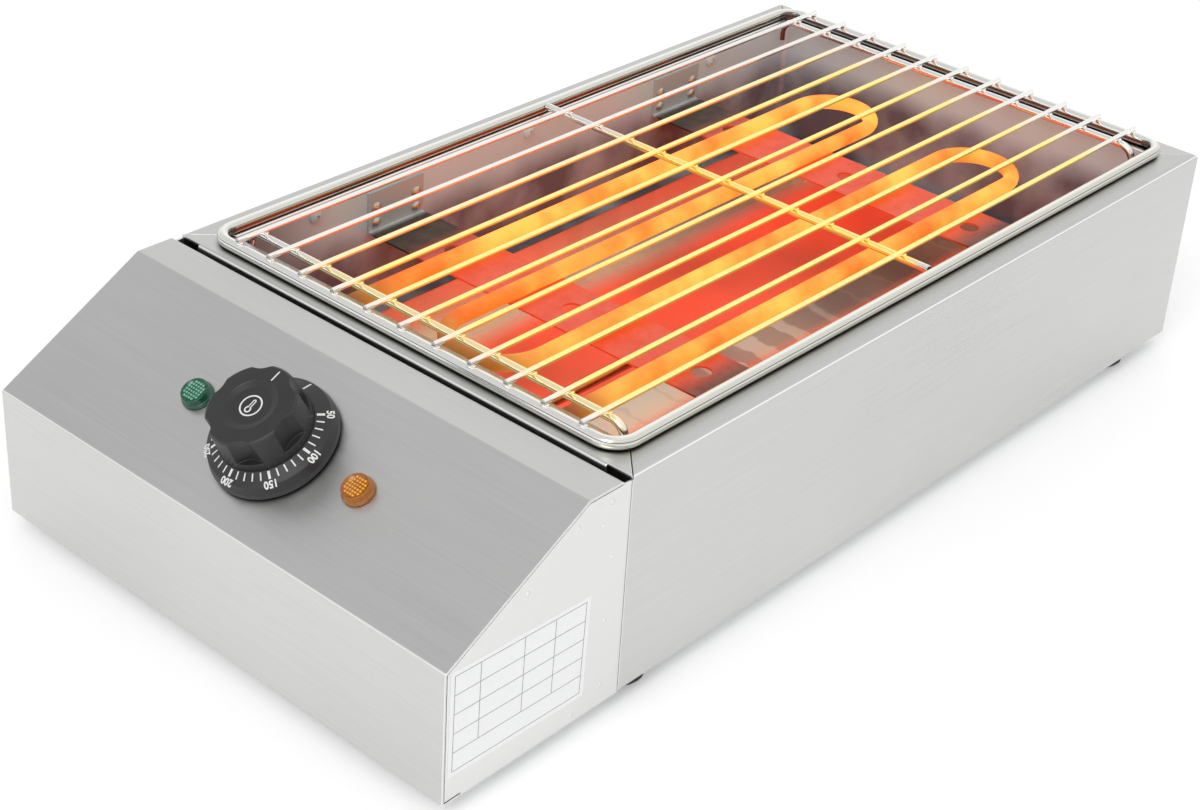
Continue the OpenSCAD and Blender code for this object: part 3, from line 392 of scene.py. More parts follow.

# ---- Liner, carriers and rivets ----
# Thin stainless liner with rounded corners round the cooking space, and its screws. Heat
# from the element has left a dull oxide film: pale at the top and mauve grey low down.
# The front of the liner is painted darker still, as painted shade.
liner_steel, tree = empty_material("heat_tinted_stainless")
place = add(tree, "ShaderNodeTexCoord")
xyz = add(tree, "ShaderNodeSeparateXYZ", {"Vector": place.outputs["Object"]})
cloud = add(tree, "ShaderNodeTexNoise", {"Vector": place.outputs["Object"], "Scale": 22,
            "Detail": 4})
near = add(tree, "ShaderNodeMapRange", {"Value": xyz.outputs["Z"], "From Min": 0.106,
           "From Max": 0.078}, interpolation_type="SMOOTHSTEP")
heat = add(tree, "ShaderNodeMath", {0: near.outputs[0], 1: cloud.outputs[0]},
           operation="MULTIPLY")
tint = add(tree, "ShaderNodeMapRange", {"Value": heat.outputs[0], "From Min": 0.1,
           "From Max": 0.55})
tone = add(tree, "ShaderNodeMix", {0: tint.outputs[0], 6: linear("#CCE4EA"),
           7: linear("#6E6E78")}, data_type="RGBA")
# Painted shade: the front of the liner is mixed towards dark mauve grey.
front_painted_shade = add(tree, "ShaderNodeMapRange", {"Value": xyz.outputs["Y"],
               "From Min": at(0, 190, 0)[1], "From Max": at(0, 125, 0)[1],
               "To Max": 0.75}, interpolation_type="SMOOTHSTEP")
tone = add(tree, "ShaderNodeMix", {0: front_painted_shade.outputs[0], 6: tone.outputs[2],
           7: linear("#5E5658")}, data_type="RGBA")
sheen = add(tree, "ShaderNodeMapRange", {"Value": cloud.outputs[0], "To Min": 0.32,
            "To Max": 0.46})
metal = add(tree, "ShaderNodeBsdfPrincipled", {"Base Color": tone.outputs[2],
            "Metallic": 0.25, "Roughness": sheen.outputs[0], "Specular IOR Level": 0.25})
add(tree, "ShaderNodeOutputMaterial", {"Surface": metal.outputs[0]})
dress(liner_steel, "cooking_liner", "liner_screws")

# Scaled mild steel: black brown, with bare grey ends, and a dull red painted glow in the
# middle
scaled, tree = empty_material("heat_scaled_steel")
place = add(tree, "ShaderNodeTexCoord")
flakes = add(tree, "ShaderNodeTexNoise", {"Vector": place.outputs["Object"], "Scale": 120,
             "Detail": 5, "Roughness": 0.7})
tone = add(tree, "ShaderNodeMix", {0: flakes.outputs[0], 6: linear("#3B2B28"),
           7: linear("#8A7A72")}, data_type="RGBA")
relief = add(tree, "ShaderNodeBump", {"Strength": 0.3, "Distance": 0.0002,
             "Height": flakes.outputs[0]})
xyz = add(tree, "ShaderNodeSeparateXYZ", {"Vector": place.outputs["Object"]})
from_side = add(tree, "ShaderNodeMath", {0: xyz.outputs["X"]}, operation="ABSOLUTE")
ends = add(tree, "ShaderNodeMapRange", {"Value": from_side.outputs[0],
           "From Min": 0.1155, "From Max": 0.1185})  # only the legs on the liner
tone = add(tree, "ShaderNodeMix", {0: ends.outputs[0], 6: tone.outputs[2],
           7: linear("#B9C2C4")}, data_type="RGBA")
# Painted glow: the middle of each carrier, away from its legs, emits dull red light, though it
# is no lamp.
carrier_painted_glow = add(tree, "ShaderNodeMapRange", {"Value": from_side.outputs[0], "From Min": 0.096,
          "From Max": 0.072, "To Max": 0.85}, interpolation_type="SMOOTHSTEP")
bare = add(tree, "ShaderNodeMapRange", {"Value": ends.outputs[0], "To Min": 1,
           "To Max": 0.3})
metal = add(tree, "ShaderNodeBsdfPrincipled", {"Base Color": tone.outputs[2],
            "Metallic": bare.outputs[0], "Roughness": 0.42, "Normal": relief.outputs[0],
            "Emission Color": linear("#EA3E1C"), "Emission Strength": carrier_painted_glow.outputs[0]})
add(tree, "ShaderNodeOutputMaterial", {"Surface": metal.outputs[0]})
dress(scaled, "element_carriers")

# Bright plated steel of the screws, nuts and rivets, with fine scratches from the driver
plated, tree = empty_material("plated_fastener_steel")
place = add(tree, "ShaderNodeTexCoord")
scratch = add(tree, "ShaderNodeTexNoise", {"Vector": place.outputs["Object"], "Scale": 1500,
              "Detail": 2})
tone = add(tree, "ShaderNodeMix", {0: scratch.outputs[0], 6: linear("#B9B9B6"),
           7: linear("#E2E2DE")}, data_type="RGBA")
sheen = add(tree, "ShaderNodeMapRange", {"Value": scratch.outputs[0], "To Min": 0.2,
            "To Max": 0.4})
metal = add(tree, "ShaderNodeBsdfPrincipled", {"Base Color": tone.outputs[2], "Metallic": 1,
            "Roughness": sheen.outputs[0]})
add(tree, "ShaderNodeOutputMaterial", {"Surface": metal.outputs[0]})
dress(plated, "carrier_rivets", "bulkhead_screws", "bulkhead_nuts",
      "base_screws", "foot_screws", "foot_nuts", "thermostat_screws", "terminal_screws",
      "clamp_screws", "thermostat_spindle")

# ---- Heating element ----
# One steel-sheathed tube bent into four runs. It glows orange, yellower in patches, and the
# cold ends near the bulkhead stay dark, so the glow fades in over the first centimetres.
sheath, tree = empty_material("glowing_element_sheath")
place = add(tree, "ShaderNodeTexCoord")
xyz = add(tree, "ShaderNodeSeparateXYZ", {"Vector": place.outputs["Object"]})
mottle = add(tree, "ShaderNodeTexNoise", {"Vector": place.outputs["Object"], "Scale": 26,
             "Detail": 3})
heat = add(tree, "ShaderNodeMapRange", {"Value": mottle.outputs[0], "From Min": 0.36,
           "From Max": 0.64})
flame = add(tree, "ShaderNodeMix", {0: heat.outputs[0], 6: linear("#F47A22"),
            7: linear("#FCB84C")}, data_type="RGBA")
cold_y, hot_y = at(0, 122, 0)[1], at(0, 195, 0)[1]
warm = add(tree, "ShaderNodeMapRange", {"Value": xyz.outputs["Y"], "From Min": cold_y,
           "From Max": hot_y}, interpolation_type="SMOOTHSTEP")
tone = add(tree, "ShaderNodeMix", {0: warm.outputs[0], 6: linear("#4A2A26"),
           7: linear("#C0502A")}, data_type="RGBA")
uneven = add(tree, "ShaderNodeMapRange", {"Value": mottle.outputs[0], "From Min": 0.3,
             "From Max": 0.7, "To Min": 0.8, "To Max": 1.15})
power = add(tree, "ShaderNodeMath", {0: warm.outputs[0], 1: uneven.outputs[0]},
            operation="MULTIPLY")
strength = add(tree, "ShaderNodeMapRange", {"Value": power.outputs[0], "To Min": 0.02,
               "To Max": 1.12}, clamp=False)
metal = add(tree, "ShaderNodeBsdfPrincipled", {"Base Color": tone.outputs[2],
            "Metallic": 0, "Roughness": 0.6, "Specular IOR Level": 0.25,
            "Emission Color": flame.outputs[2],
            "Emission Strength": strength.outputs[0]})
add(tree, "ShaderNodeOutputMaterial", {"Surface": metal.outputs[0]})
dress(sheath, "heating_element")

# ---- Drip tray ----
# Bright-rolled stainless pan, almost a mirror, that slides out at the back. Its floor shows
# a painted red glow from the element and painted broken reflections, only while the glowing
# parts stand over it.
tray_steel, tree = empty_material("bright_rolled_stainless")
place = add(tree, "ShaderNodeTexCoord")
cloud = add(tree, "ShaderNodeTexNoise", {"Vector": place.outputs["Object"], "Scale": 12,
            "Detail": 3})
xyz = add(tree, "ShaderNodeSeparateXYZ", {"Vector": place.outputs["Object"]})
from_side = add(tree, "ShaderNodeMath", {0: xyz.outputs["X"]}, operation="ABSOLUTE")
inside_x = add(tree, "ShaderNodeMapRange", {"Value": from_side.outputs[0], "From Min": 0.112,
               "From Max": 0.09}, interpolation_type="SMOOTHSTEP")
off_middle = add(tree, "ShaderNodeMapRange", {"Value": from_side.outputs[0],
                 "From Min": 0.007, "From Max": 0.022}, interpolation_type="SMOOTHSTEP")
past_front = add(tree, "ShaderNodeMapRange", {"Value": xyz.outputs["Y"],
                 "From Min": at(0, 130, 0)[1], "From Max": at(0, 180, 0)[1]},
                 interpolation_type="SMOOTHSTEP")
roofed = add(tree, "ShaderNodeAmbientOcclusion", {"Distance": 0.3}, samples=24)
roof = add(tree, "ShaderNodeMapRange", {"Value": roofed.outputs["AO"], "From Min": 0.7,
           "From Max": 0.58})
surface = add(tree, "ShaderNodeNewGeometry")
facing = add(tree, "ShaderNodeSeparateXYZ", {"Vector": surface.outputs["Normal"]})
level = add(tree, "ShaderNodeMapRange", {"Value": facing.outputs["Z"], "From Min": 0.4,
            "From Max": 0.8})
# Painted glow: the floor inside the liner, facing up with parts over it, is painted
# red-bronze, made duller and less metallic, and emits red light.
painted_glow_area = inside_x
for share in (past_front, off_middle, roof, level):
    painted_glow_area = add(tree, "ShaderNodeMath", {0: painted_glow_area.outputs[0], 1: share.outputs[0]},
                operation="MULTIPLY")
bright = add(tree, "ShaderNodeMix", {0: cloud.outputs[0], 6: linear("#ECE6D2"),
             7: linear("#F8F3E2")}, data_type="RGBA")
# Painted reflection: wavy beige-brown bands across the floor's middle, stronger towards the
# back, only while parts stand over it.
bands = add(tree, "ShaderNodeTexWave", {"Vector": place.outputs["Object"], "Scale": 11,
            "Distortion": 1.2, "Detail": 1, "Detail Scale": 9}, bands_direction="Y")
rearward = add(tree, "ShaderNodeMapRange", {"Value": xyz.outputs["Y"],
               "From Min": at(0, 300, 0)[1], "From Max": at(0, 440, 0)[1],
               "To Min": -0.5, "To Max": 0.55})
painted_reflection = add(tree, "ShaderNodeMath", {0: bands.outputs[1], 1: rearward.outputs[0]},
             operation="ADD")
painted_reflection = add(tree, "ShaderNodeMapRange", {"Value": painted_reflection.outputs[0], "From Min": 0.45,
             "From Max": 0.6})
middle = add(tree, "ShaderNodeMapRange", {"Value": from_side.outputs[0],
             "From Min": 0.03, "From Max": 0.02, "To Min": 0.15})
for share in (middle, roof):
    painted_reflection = add(tree, "ShaderNodeMath", {0: painted_reflection.outputs[0], 1: share.outputs[0]},
                 operation="MULTIPLY")
bright = add(tree, "ShaderNodeMix", {0: painted_reflection.outputs[0], 6: bright.outputs[2],
             7: linear("#CBBBAC")}, data_type="RGBA")
tone = add(tree, "ShaderNodeMix", {0: painted_glow_area.outputs[0], 6: bright.outputs[2],
           7: linear("#C9775A")}, data_type="RGBA")
sheen = add(tree, "ShaderNodeMapRange", {"Value": cloud.outputs[0], "To Min": 0.16,
            "To Max": 0.3})
dull = add(tree, "ShaderNodeMath", {0: painted_glow_area.outputs[0], 1: 0.16, 2: sheen.outputs[0]},
           operation="MULTIPLY_ADD")
uneven = add(tree, "ShaderNodeMapRange", {"Value": cloud.outputs[0], "From Min": 0.35,
             "From Max": 0.65, "To Min": 0.45, "To Max": 1.0})
tray_painted_glow = add(tree, "ShaderNodeMath", {0: painted_glow_area.outputs[0], 1: uneven.outputs[0]},
            operation="MULTIPLY")
glow_area_metallic = add(tree, "ShaderNodeMapRange", {"Value": painted_glow_area.outputs[0], "To Min": 0.7,
           "To Max": 0.4})
metal = add(tree, "ShaderNodeBsdfPrincipled", {"Base Color": tone.outputs[2],
            "Metallic": glow_area_metallic.outputs[0], "Roughness": dull.outputs[0],
            "Emission Color": linear("#E52C18"),
            "Emission Strength": tray_painted_glow.outputs[0]})
add(tree, "ShaderNodeOutputMaterial", {"Surface": metal.outputs[0]})
dress(tray_steel, "drip_tray")

# ---- Wire rack ----
# Round steel wire, plated and polished, welded at every crossing. Above the element it is
# straw yellow from the heat and scorched below, with a faint painted yellow glow. The frame's
# rods carry a painted dark reflection band and painted shade on their sides and inner faces,
# and all the wire gets painted contact shade close to other parts.
rack_chrome, tree = empty_material("polished_plated_wire")
place = add(tree, "ShaderNodeTexCoord")
xyz = add(tree, "ShaderNodeSeparateXYZ", {"Vector": place.outputs["Object"]})
hot_x = 0.03
off_hot = add(tree, "ShaderNodeMath", {0: xyz.outputs["X"], 1: hot_x},
              operation="SUBTRACT")
off_hot = add(tree, "ShaderNodeMath", {0: off_hot.outputs[0]}, operation="ABSOLUTE")
warm_x = add(tree, "ShaderNodeMapRange", {"Value": off_hot.outputs[0], "From Min": 0.122,
             "From Max": 0.072}, interpolation_type="SMOOTHSTEP")
from_side = add(tree, "ShaderNodeMath", {0: xyz.outputs["X"]}, operation="ABSOLUTE")
off_frame = add(tree, "ShaderNodeMapRange", {"Value": from_side.outputs[0],
                "From Min": 0.12, "From Max": 0.112})
past_front = add(tree, "ShaderNodeMapRange", {"Value": xyz.outputs["Y"],
                 "From Min": at(0, 106, 0)[1], "From Max": at(0, 138, 0)[1]},
                 interpolation_type="SMOOTHSTEP")
before_rear = add(tree, "ShaderNodeMapRange", {"Value": xyz.outputs["Y"],
                  "From Min": at(0, 520, 0)[1], "From Max": at(0, 480, 0)[1]},
                  interpolation_type="SMOOTHSTEP")
over = warm_x
for share in (off_frame, past_front, before_rear):
    over = add(tree, "ShaderNodeMath", {0: over.outputs[0], 1: share.outputs[0]},
               operation="MULTIPLY")
surface = add(tree, "ShaderNodeNewGeometry")
facing = add(tree, "ShaderNodeSeparateXYZ", {"Vector": surface.outputs["Normal"]})
# Painted shade: the side rods' faces that look left or right are painted greyer than their
# tops.
side_painted_shade = add(tree, "ShaderNodeMath", {0: facing.outputs["X"]}, operation="ABSOLUTE")
side_painted_shade = add(tree, "ShaderNodeMapRange", {"Value": side_painted_shade.outputs[0], "From Min": 0.1,
               "From Max": 0.5})
side_rods = add(tree, "ShaderNodeMapRange", {"Value": from_side.outputs[0],
                "From Min": 0.112, "From Max": 0.12})
front_rod = add(tree, "ShaderNodeMapRange", {"Value": xyz.outputs["Y"],
                "From Min": at(0, 113, 0)[1], "From Max": at(0, 111.5, 0)[1]})
rods = add(tree, "ShaderNodeMath", {0: side_rods.outputs[0], 1: front_rod.outputs[0]},
           operation="MAXIMUM")
side_painted_shade = add(tree, "ShaderNodeMath", {0: side_painted_shade.outputs[0], 1: side_rods.outputs[0]},
               operation="MULTIPLY")
pale = add(tree, "ShaderNodeMix", {0: side_painted_shade.outputs[0], 6: linear("#FCFBF7"),
           7: linear("#DEDDD3")}, data_type="RGBA")
# Painted reflection: a dark grey band along the frame rods, where their normals point about 30
# degrees above level.
above = add(tree, "ShaderNodeMapRange", {"Value": facing.outputs["Z"], "From Min": 0.4,
            "From Max": 0.46})
line = add(tree, "ShaderNodeMapRange", {"Value": facing.outputs["Z"], "From Min": 0.58,
           "From Max": 0.52})
for share in (above, rods):
    line = add(tree, "ShaderNodeMath", {0: line.outputs[0], 1: share.outputs[0]},
               operation="MULTIPLY")
pale = add(tree, "ShaderNodeMix", {0: line.outputs[0], 6: pale.outputs[2],
           7: linear("#7A7A75")}, data_type="RGBA")
tone = add(tree, "ShaderNodeMix", {0: over.outputs[0], 6: pale.outputs[2],
           7: linear("#FFE89C")}, data_type="RGBA")
below = add(tree, "ShaderNodeMapRange", {"Value": facing.outputs["Z"], "From Min": -0.1,
            "From Max": -0.3})
# From the middle of the frame, in half widths and half lengths, so 1 on the outer side
from_middle = add(tree, "ShaderNodeMapping", {"Vector": place.outputs["Object"],
                  "Location": (0, -0.2, 0), "Scale": (8, 4.64, 0)})
outward = add(tree, "ShaderNodeVectorMath", {0: from_middle.outputs[0],
              1: surface.outputs["Normal"]}, operation="DOT_PRODUCT")
# Painted shade: the frame rods' faces turned in towards the middle are painted dark grey.
inner = add(tree, "ShaderNodeMapRange", {"Value": outward.outputs["Value"],
            "From Min": -0.9, "From Max": -0.97})
tone = add(tree, "ShaderNodeMix", {0: inner.outputs[0], 6: tone.outputs[2],
           7: linear("#6E6C6A")}, data_type="RGBA")
scorch = add(tree, "ShaderNodeMath", {0: below.outputs[0], 1: over.outputs[0]},
             operation="MULTIPLY")
tone = add(tree, "ShaderNodeMix", {0: scorch.outputs[0], 6: tone.outputs[2],
           7: linear("#8E6A4A")}, data_type="RGBA")
# Painted shade: the wire is painted dark grey where it lies close to other parts, as a contact
# shadow.
contact = add(tree, "ShaderNodeAmbientOcclusion", {"Distance": 0.002}, samples=8)
shade = add(tree, "ShaderNodeMapRange", {"Value": contact.outputs["AO"], "From Min": 0.2,
            "From Max": 0.55})
tone = add(tree, "ShaderNodeMix", {0: shade.outputs[0], 6: linear("#63625F"),
           7: tone.outputs[2]}, data_type="RGBA")
# Painted glow: the wire above the element emits faint yellow light, though it is no lamp.
rack_painted_glow = add(tree, "ShaderNodeMath", {0: over.outputs[0], 1: 0.3}, operation="MULTIPLY")
fine = add(tree, "ShaderNodeTexNoise", {"Vector": place.outputs["Object"], "Scale": 120,
           "Detail": 2})
sheen = add(tree, "ShaderNodeMapRange", {"Value": fine.outputs[0], "To Min": 0.14,
            "To Max": 0.2})
metal = add(tree, "ShaderNodeBsdfPrincipled", {"Base Color": tone.outputs[2], "Metallic": 1,
            "Roughness": sheen.outputs[0], "Emission Color": linear("#FFD250"),
            "Emission Strength": rack_painted_glow.outputs[0]})
add(tree, "ShaderNodeOutputMaterial", {"Surface": metal.outputs[0]})
dress(rack_chrome, "rack_frame", "rack_long_wires", "rack_cross_wires")

# Resistance welds: a small flattened bead where each long wire lies on a rod or a wire
beads, given = geometry_tree("weld_beads", Width="Float", Height="Float")
ball = add(beads, "GeometryNodeMeshUVSphere", {"Segments": 12, "Rings": 8, "Radius": 1.0})
flat = add(beads, "ShaderNodeCombineXYZ", {0: given.outputs["Width"],
           1: given.outputs["Width"], 2: given.outputs["Height"]})
spots = add(beads, "GeometryNodeMeshToPoints", {"Mesh": given.outputs["Geometry"]})
placed = add(beads, "GeometryNodeInstanceOnPoints", {"Points": spots.outputs[0],
             "Instance": ball.outputs["Mesh"], "Scale": flat.outputs[0]})
end_tree(beads, given, placed.outputs[0])
wire_pitch, wire_n, weld_z = 21.3, 11, 120.55
wire_xs = [(i - wire_n // 2) * wire_pitch for i in range(wire_n)]
rod_ys, cross_ys = (109.2, 540.4), (124.3, 330.8, 525.3)
points = [at(x, y, weld_z) for x in wire_xs for y in rod_ys + cross_ys]
welds = grow("rack_welds", beads, points, rack_chrome, Width=0.0021, Height=0.00075)
welds.data.shade_smooth()
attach(welds, "rack")

# ---- Knob ----
# Skirt and grip moulded in matt black phenolic plastic, with a sanded feel.
phenolic, tree = empty_material("matt_phenolic")
place = add(tree, "ShaderNodeTexCoord")
grit = add(tree, "ShaderNodeTexNoise", {"Vector": place.outputs["Object"], "Scale": 2500,
           "Detail": 2})
rubbed = add(tree, "ShaderNodeTexNoise", {"Vector": place.outputs["Object"], "Scale": 60,
             "Detail": 3})
tone = add(tree, "ShaderNodeMix", {0: rubbed.outputs[0], 6: linear("#1B1B1C"),
           7: linear("#29292A")}, data_type="RGBA")
sheen = add(tree, "ShaderNodeMapRange", {"Value": rubbed.outputs[0], "To Min": 0.32,
            "To Max": 0.46})
edges = add(tree, "ShaderNodeBevel", {"Radius": 0.0006}, samples=8)
relief = add(tree, "ShaderNodeBump", {"Strength": 0.1, "Distance": 0.0001,
             "Height": grit.outputs[0], "Normal": edges.outputs[0]})
plastic = add(tree, "ShaderNodeBsdfPrincipled", {"Base Color": tone.outputs[2],
              "Roughness": sheen.outputs[0], "IOR": 1.55, "Normal": relief.outputs[0]})
add(tree, "ShaderNodeOutputMaterial", {"Surface": plastic.outputs[0]})
dress(phenolic, "knob_skirt", "knob_grip")

# ---- Marks on the knob ----
# White pad printing: ticks and plain numbers on the skirt's cone, a pointer line and a
# ring with a thermometer sign on the grip.
white_ink, tree = empty_material("white_pad_printing")
place = add(tree, "ShaderNodeTexCoord")
thin = add(tree, "ShaderNodeTexNoise", {"Vector": place.outputs["Object"], "Scale": 700})
tone = add(tree, "ShaderNodeMix", {0: thin.outputs[0], 6: linear("#D8D8D6"),
           7: linear("#F6F6F4")}, data_type="RGBA")
paint = add(tree, "ShaderNodeBsdfPrincipled", {"Base Color": tone.outputs[2],
            "Roughness": 0.5, "IOR": 1.5})
add(tree, "ShaderNodeOutputMaterial", {"Surface": paint.outputs[0]})

slope_foot, slope_top, slope_run, knob_up = 71.6, 114.6, 77.3, 44.2
slope = math.atan2(slope_top - slope_foot, slope_run)
panel = (Matrix.Translation(at(0, knob_up * math.cos(slope),
                               slope_foot + knob_up * math.sin(slope)))
         @ Matrix.Rotation(slope, 4, "X"))
ink_t = 0.00006
cone_r, cone_h = (0.0216, 0.0278), (0.0106, 0.0079)
cone_fall = (cone_h[0] - cone_h[1]) / (cone_r[1] - cone_r[0])
degrees_per_unit, first_mark, tick_step, tick_n = 0.889, 43.8, 10, 26


def cone_height(r):
    return cone_h[0] - (r - cone_r[0]) * cone_fall


# Ticks: thin bars on the cone, every fifth one wider
ticks, given = geometry_tree("dial_ticks", Count="Int", Turn="Float", Step="Float",
                             Size="Vector", Middle="Vector", Tilt="Float")
row = add(ticks, "GeometryNodeMeshLine", {"Count": given.outputs["Count"],
          "Offset": (0, 0, 0)})
bar = add(ticks, "GeometryNodeMeshCube", {"Size": given.outputs["Size"]})
tilt = add(ticks, "ShaderNodeCombineXYZ", {0: given.outputs["Tilt"]})
bar_out = add(ticks, "GeometryNodeTransform", {"Geometry": bar.outputs["Mesh"],
              "Translation": given.outputs["Middle"], "Rotation": tilt.outputs[0]})
number = add(ticks, "GeometryNodeInputIndex")
turned = add(ticks, "ShaderNodeMath", {0: number.outputs[0], 1: given.outputs["Step"],
             2: given.outputs["Turn"]}, operation="MULTIPLY_ADD")
angle = add(ticks, "ShaderNodeCombineXYZ", {2: turned.outputs[0]})
fifth = add(ticks, "ShaderNodeMath", {0: number.outputs[0], 1: 5.0}, operation="MODULO")
major = add(ticks, "ShaderNodeMath", {0: fifth.outputs[0], 1: 0.5}, operation="LESS_THAN")
wide = add(ticks, "ShaderNodeMath", {0: major.outputs[0], 1: 0.8, 2: 1.0},
           operation="MULTIPLY_ADD")
broad = add(ticks, "ShaderNodeCombineXYZ", {0: wide.outputs[0], 1: 1.0, 2: 1.0})
placed = add(ticks, "GeometryNodeInstanceOnPoints", {"Points": row.outputs["Mesh"],
             "Instance": bar_out.outputs[0], "Rotation": angle.outputs[0],
             "Scale": broad.outputs[0]})
end_tree(ticks, given, placed.outputs[0])

tick_r, tick_w = (0.0220, 0.0254), 0.00062
tick_mid = sum(tick_r) / 2
dial_ticks = grow("dial_ticks", ticks, [(0, 0, 0)], white_ink, panel,
                  Count=tick_n, Turn=-math.radians(first_mark),
                  Step=-math.radians(degrees_per_unit * tick_step),
                  Size=(tick_w, tick_r[1] - tick_r[0], ink_t * 2),
                  Middle=(0, tick_mid, cone_height(tick_mid)),
                  Tilt=-math.atan(cone_fall))


def wrapped(mesh, r_foot, turn):
    """Wraps a flat mesh round the skirt's cone: X runs along the dial, Y outwards."""
    for vertex in mesh.vertices:
        x, y, z = vertex.co
        r = r_foot + y
        a = math.radians(90 - turn) - x / r
        vertex.co = (r * math.cos(a), r * math.sin(a), cone_height(r) + z)
    return mesh


# Numbers: flat text turned into meshes, then wrapped on the cone
def text_mesh(name, words, size, depth):
    curve = bpy.data.curves.new(name, "FONT")
    curve.body, curve.size, curve.extrude = words, size, depth / 2
    curve.align_x, curve.resolution_u, curve.offset = "CENTER", 4, size * 0.03
    holder = bpy.data.objects.new(name, curve)
    bpy.context.collection.objects.link(holder)
    ready = holder.evaluated_get(bpy.context.evaluated_depsgraph_get())
    mesh = bpy.data.meshes.new_from_object(ready)
    bpy.data.objects.remove(holder)
    return mesh


marks = [dial_ticks]
number_r, number_size = 0.0260, 0.0041
for degrees in range(50, 301, 50):
    turn = first_mark + (degrees - 50) * degrees_per_unit
    mesh = wrapped(text_mesh(f"number_{degrees}", str(degrees), number_size, ink_t * 2),
                   number_r, turn)
    mesh.transform(panel)
    marks.append(link(f"number_{degrees}", mesh, white_ink))

# Zero line on the skirt and pointer line on the grip's top, which falls a little outwards
top_fall = 0.3 / 6.1
line_sizes = {"zero_line": ((0.00045, 0.0045, ink_t * 2), 0.02475, None),
              "pointer_line": ((0.00035, 0.0052, ink_t * 2), 0.0158, 0.02772)}
for name, (size, r_mid, height) in line_sizes.items():
    tilt = -math.atan(cone_fall if height is None else top_fall)
    middle = (0, r_mid, cone_height(r_mid) if height is None else height)
    marks.append(grow(name, ticks, [(0, 0, 0)], white_ink, panel, Count=1, Turn=0.0,
                      Step=0.0, Size=size, Middle=middle, Tilt=tilt))


# Ring and thermometer sign in the dish: flat outlines with a little thickness
def band(outer, inner, low, high):
    """A closed flat band between two outlines with the same number of points."""
    n = len(outer)
    points = [(x, y, z) for z in (low, high) for ring in (outer, inner) for x, y in ring]
    faces = []
    for i in range(n):
        j = (i + 1) % n
        faces += [(i, j, n + j, n + i)[::-1], (2 * n + i, 2 * n + j, 3 * n + j, 3 * n + i),
                  (i, j, 2 * n + j, 2 * n + i), (n + j, n + i, 3 * n + i, 3 * n + j)]
    return points, faces


def circle(r, n=48):
    return [(r * math.cos(2 * math.pi * i / n), r * math.sin(2 * math.pi * i / n))
            for i in range(n)]


def capsule(half, length, bulb, n=12):
    """Outline of a thermometer along Y: a tube with a round top over a larger bulb."""
    dip = math.acos(half / bulb)
    top = [(half * math.cos(a), length + half * math.sin(a))
           for a in (math.pi * i / n for i in range(n + 1))]
    low = [(bulb * math.cos(a), bulb * math.sin(a))
           for a in (math.pi - dip + (math.pi + 2 * dip) * i / (2 * n)
                     for i in range(2 * n + 1))]
    return top + low


dish_h = 0.0267
ring_parts = [band(circle(0.0052), circle(0.0045), dish_h - ink_t, dish_h + ink_t)]
outline = capsule(0.00085, 0.0044, 0.0016)
inside = capsule(0.00035, 0.0044, 0.00095)
thermometer = [band(outline, inside, dish_h - ink_t, dish_h + ink_t)]
turn_sign = Matrix.Translation((0, -0.0020, 0))
for name, parts, turn in (("grip_ring", ring_parts, Matrix()),
                          ("thermometer_sign", thermometer, turn_sign)):
    mesh = solid_mesh(name, parts)
    mesh.transform(panel @ turn)
    marks.append(link(name, mesh, white_ink))
for piece in marks:
    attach(piece, "knob")

# ---- Indicator lamps ----
# Clear coloured polycarbonate lenses, a flat rim round a field of small prisms that
# scatter the lamp's light. They snap into the sheet from the front.


def lens_plastic(name, dark, light, glow):
    made, tree = empty_material(name)
    place = add(tree, "ShaderNodeTexCoord")
    swirl = add(tree, "ShaderNodeTexNoise", {"Vector": place.outputs["Object"], "Scale": 400})
    tone = add(tree, "ShaderNodeMix", {0: swirl.outputs[0], 6: linear(dark),
               7: linear(light)}, data_type="RGBA")
    clear = add(tree, "ShaderNodeBsdfPrincipled", {"Base Color": tone.outputs[2],
                "Roughness": 0.12, "IOR": 1.586, "Transmission Weight": 0.2,
                "Emission Color": linear(light), "Emission Strength": glow})
    add(tree, "ShaderNodeOutputMaterial", {"Surface": clear.outputs[0]})
    return made


# Square pyramids side by side over a round field
prisms, given = geometry_tree("lens_prisms", Field="Float", Pitch="Float", Depth="Float")
double = add(prisms, "ShaderNodeMath", {0: given.outputs["Field"], 1: 2.0},
             operation="MULTIPLY")
steps = add(prisms, "ShaderNodeMath", {0: double.outputs[0], 1: given.outputs["Pitch"]},
            operation="DIVIDE")
count = add(prisms, "ShaderNodeMath", {0: steps.outputs[0], 1: 1.0}, operation="ADD")
net = add(prisms, "GeometryNodeMeshGrid", {"Size X": double.outputs[0],
          "Size Y": double.outputs[0], "Vertices X": count.outputs[0],
          "Vertices Y": count.outputs[0]})
where = add(prisms, "GeometryNodeInputPosition")
reach = add(prisms, "ShaderNodeVectorMath", {0: where.outputs[0]}, operation="LENGTH")
outside = add(prisms, "ShaderNodeMath", {0: reach.outputs["Value"],
              1: given.outputs["Field"]}, operation="GREATER_THAN")
kept = add(prisms, "GeometryNodeDeleteGeometry", {"Geometry": net.outputs["Mesh"],
           "Selection": outside.outputs[0]}, domain="POINT")
corner = add(prisms, "ShaderNodeMath", {0: given.outputs["Pitch"], 1: 0.52},
             operation="MULTIPLY")
point = add(prisms, "GeometryNodeMeshCone", {"Vertices": 4, "Radius Top": 0.0,
            "Radius Bottom": corner.outputs[0], "Depth": given.outputs["Depth"]})
square = add(prisms, "GeometryNodeTransform", {"Geometry": point.outputs["Mesh"],
             "Rotation": (0, 0, math.pi / 4)})
placed = add(prisms, "GeometryNodeInstanceOnPoints", {"Points": kept.outputs[0],
             "Instance": square.outputs[0]})
end_tree(prisms, given, placed.outputs[0])


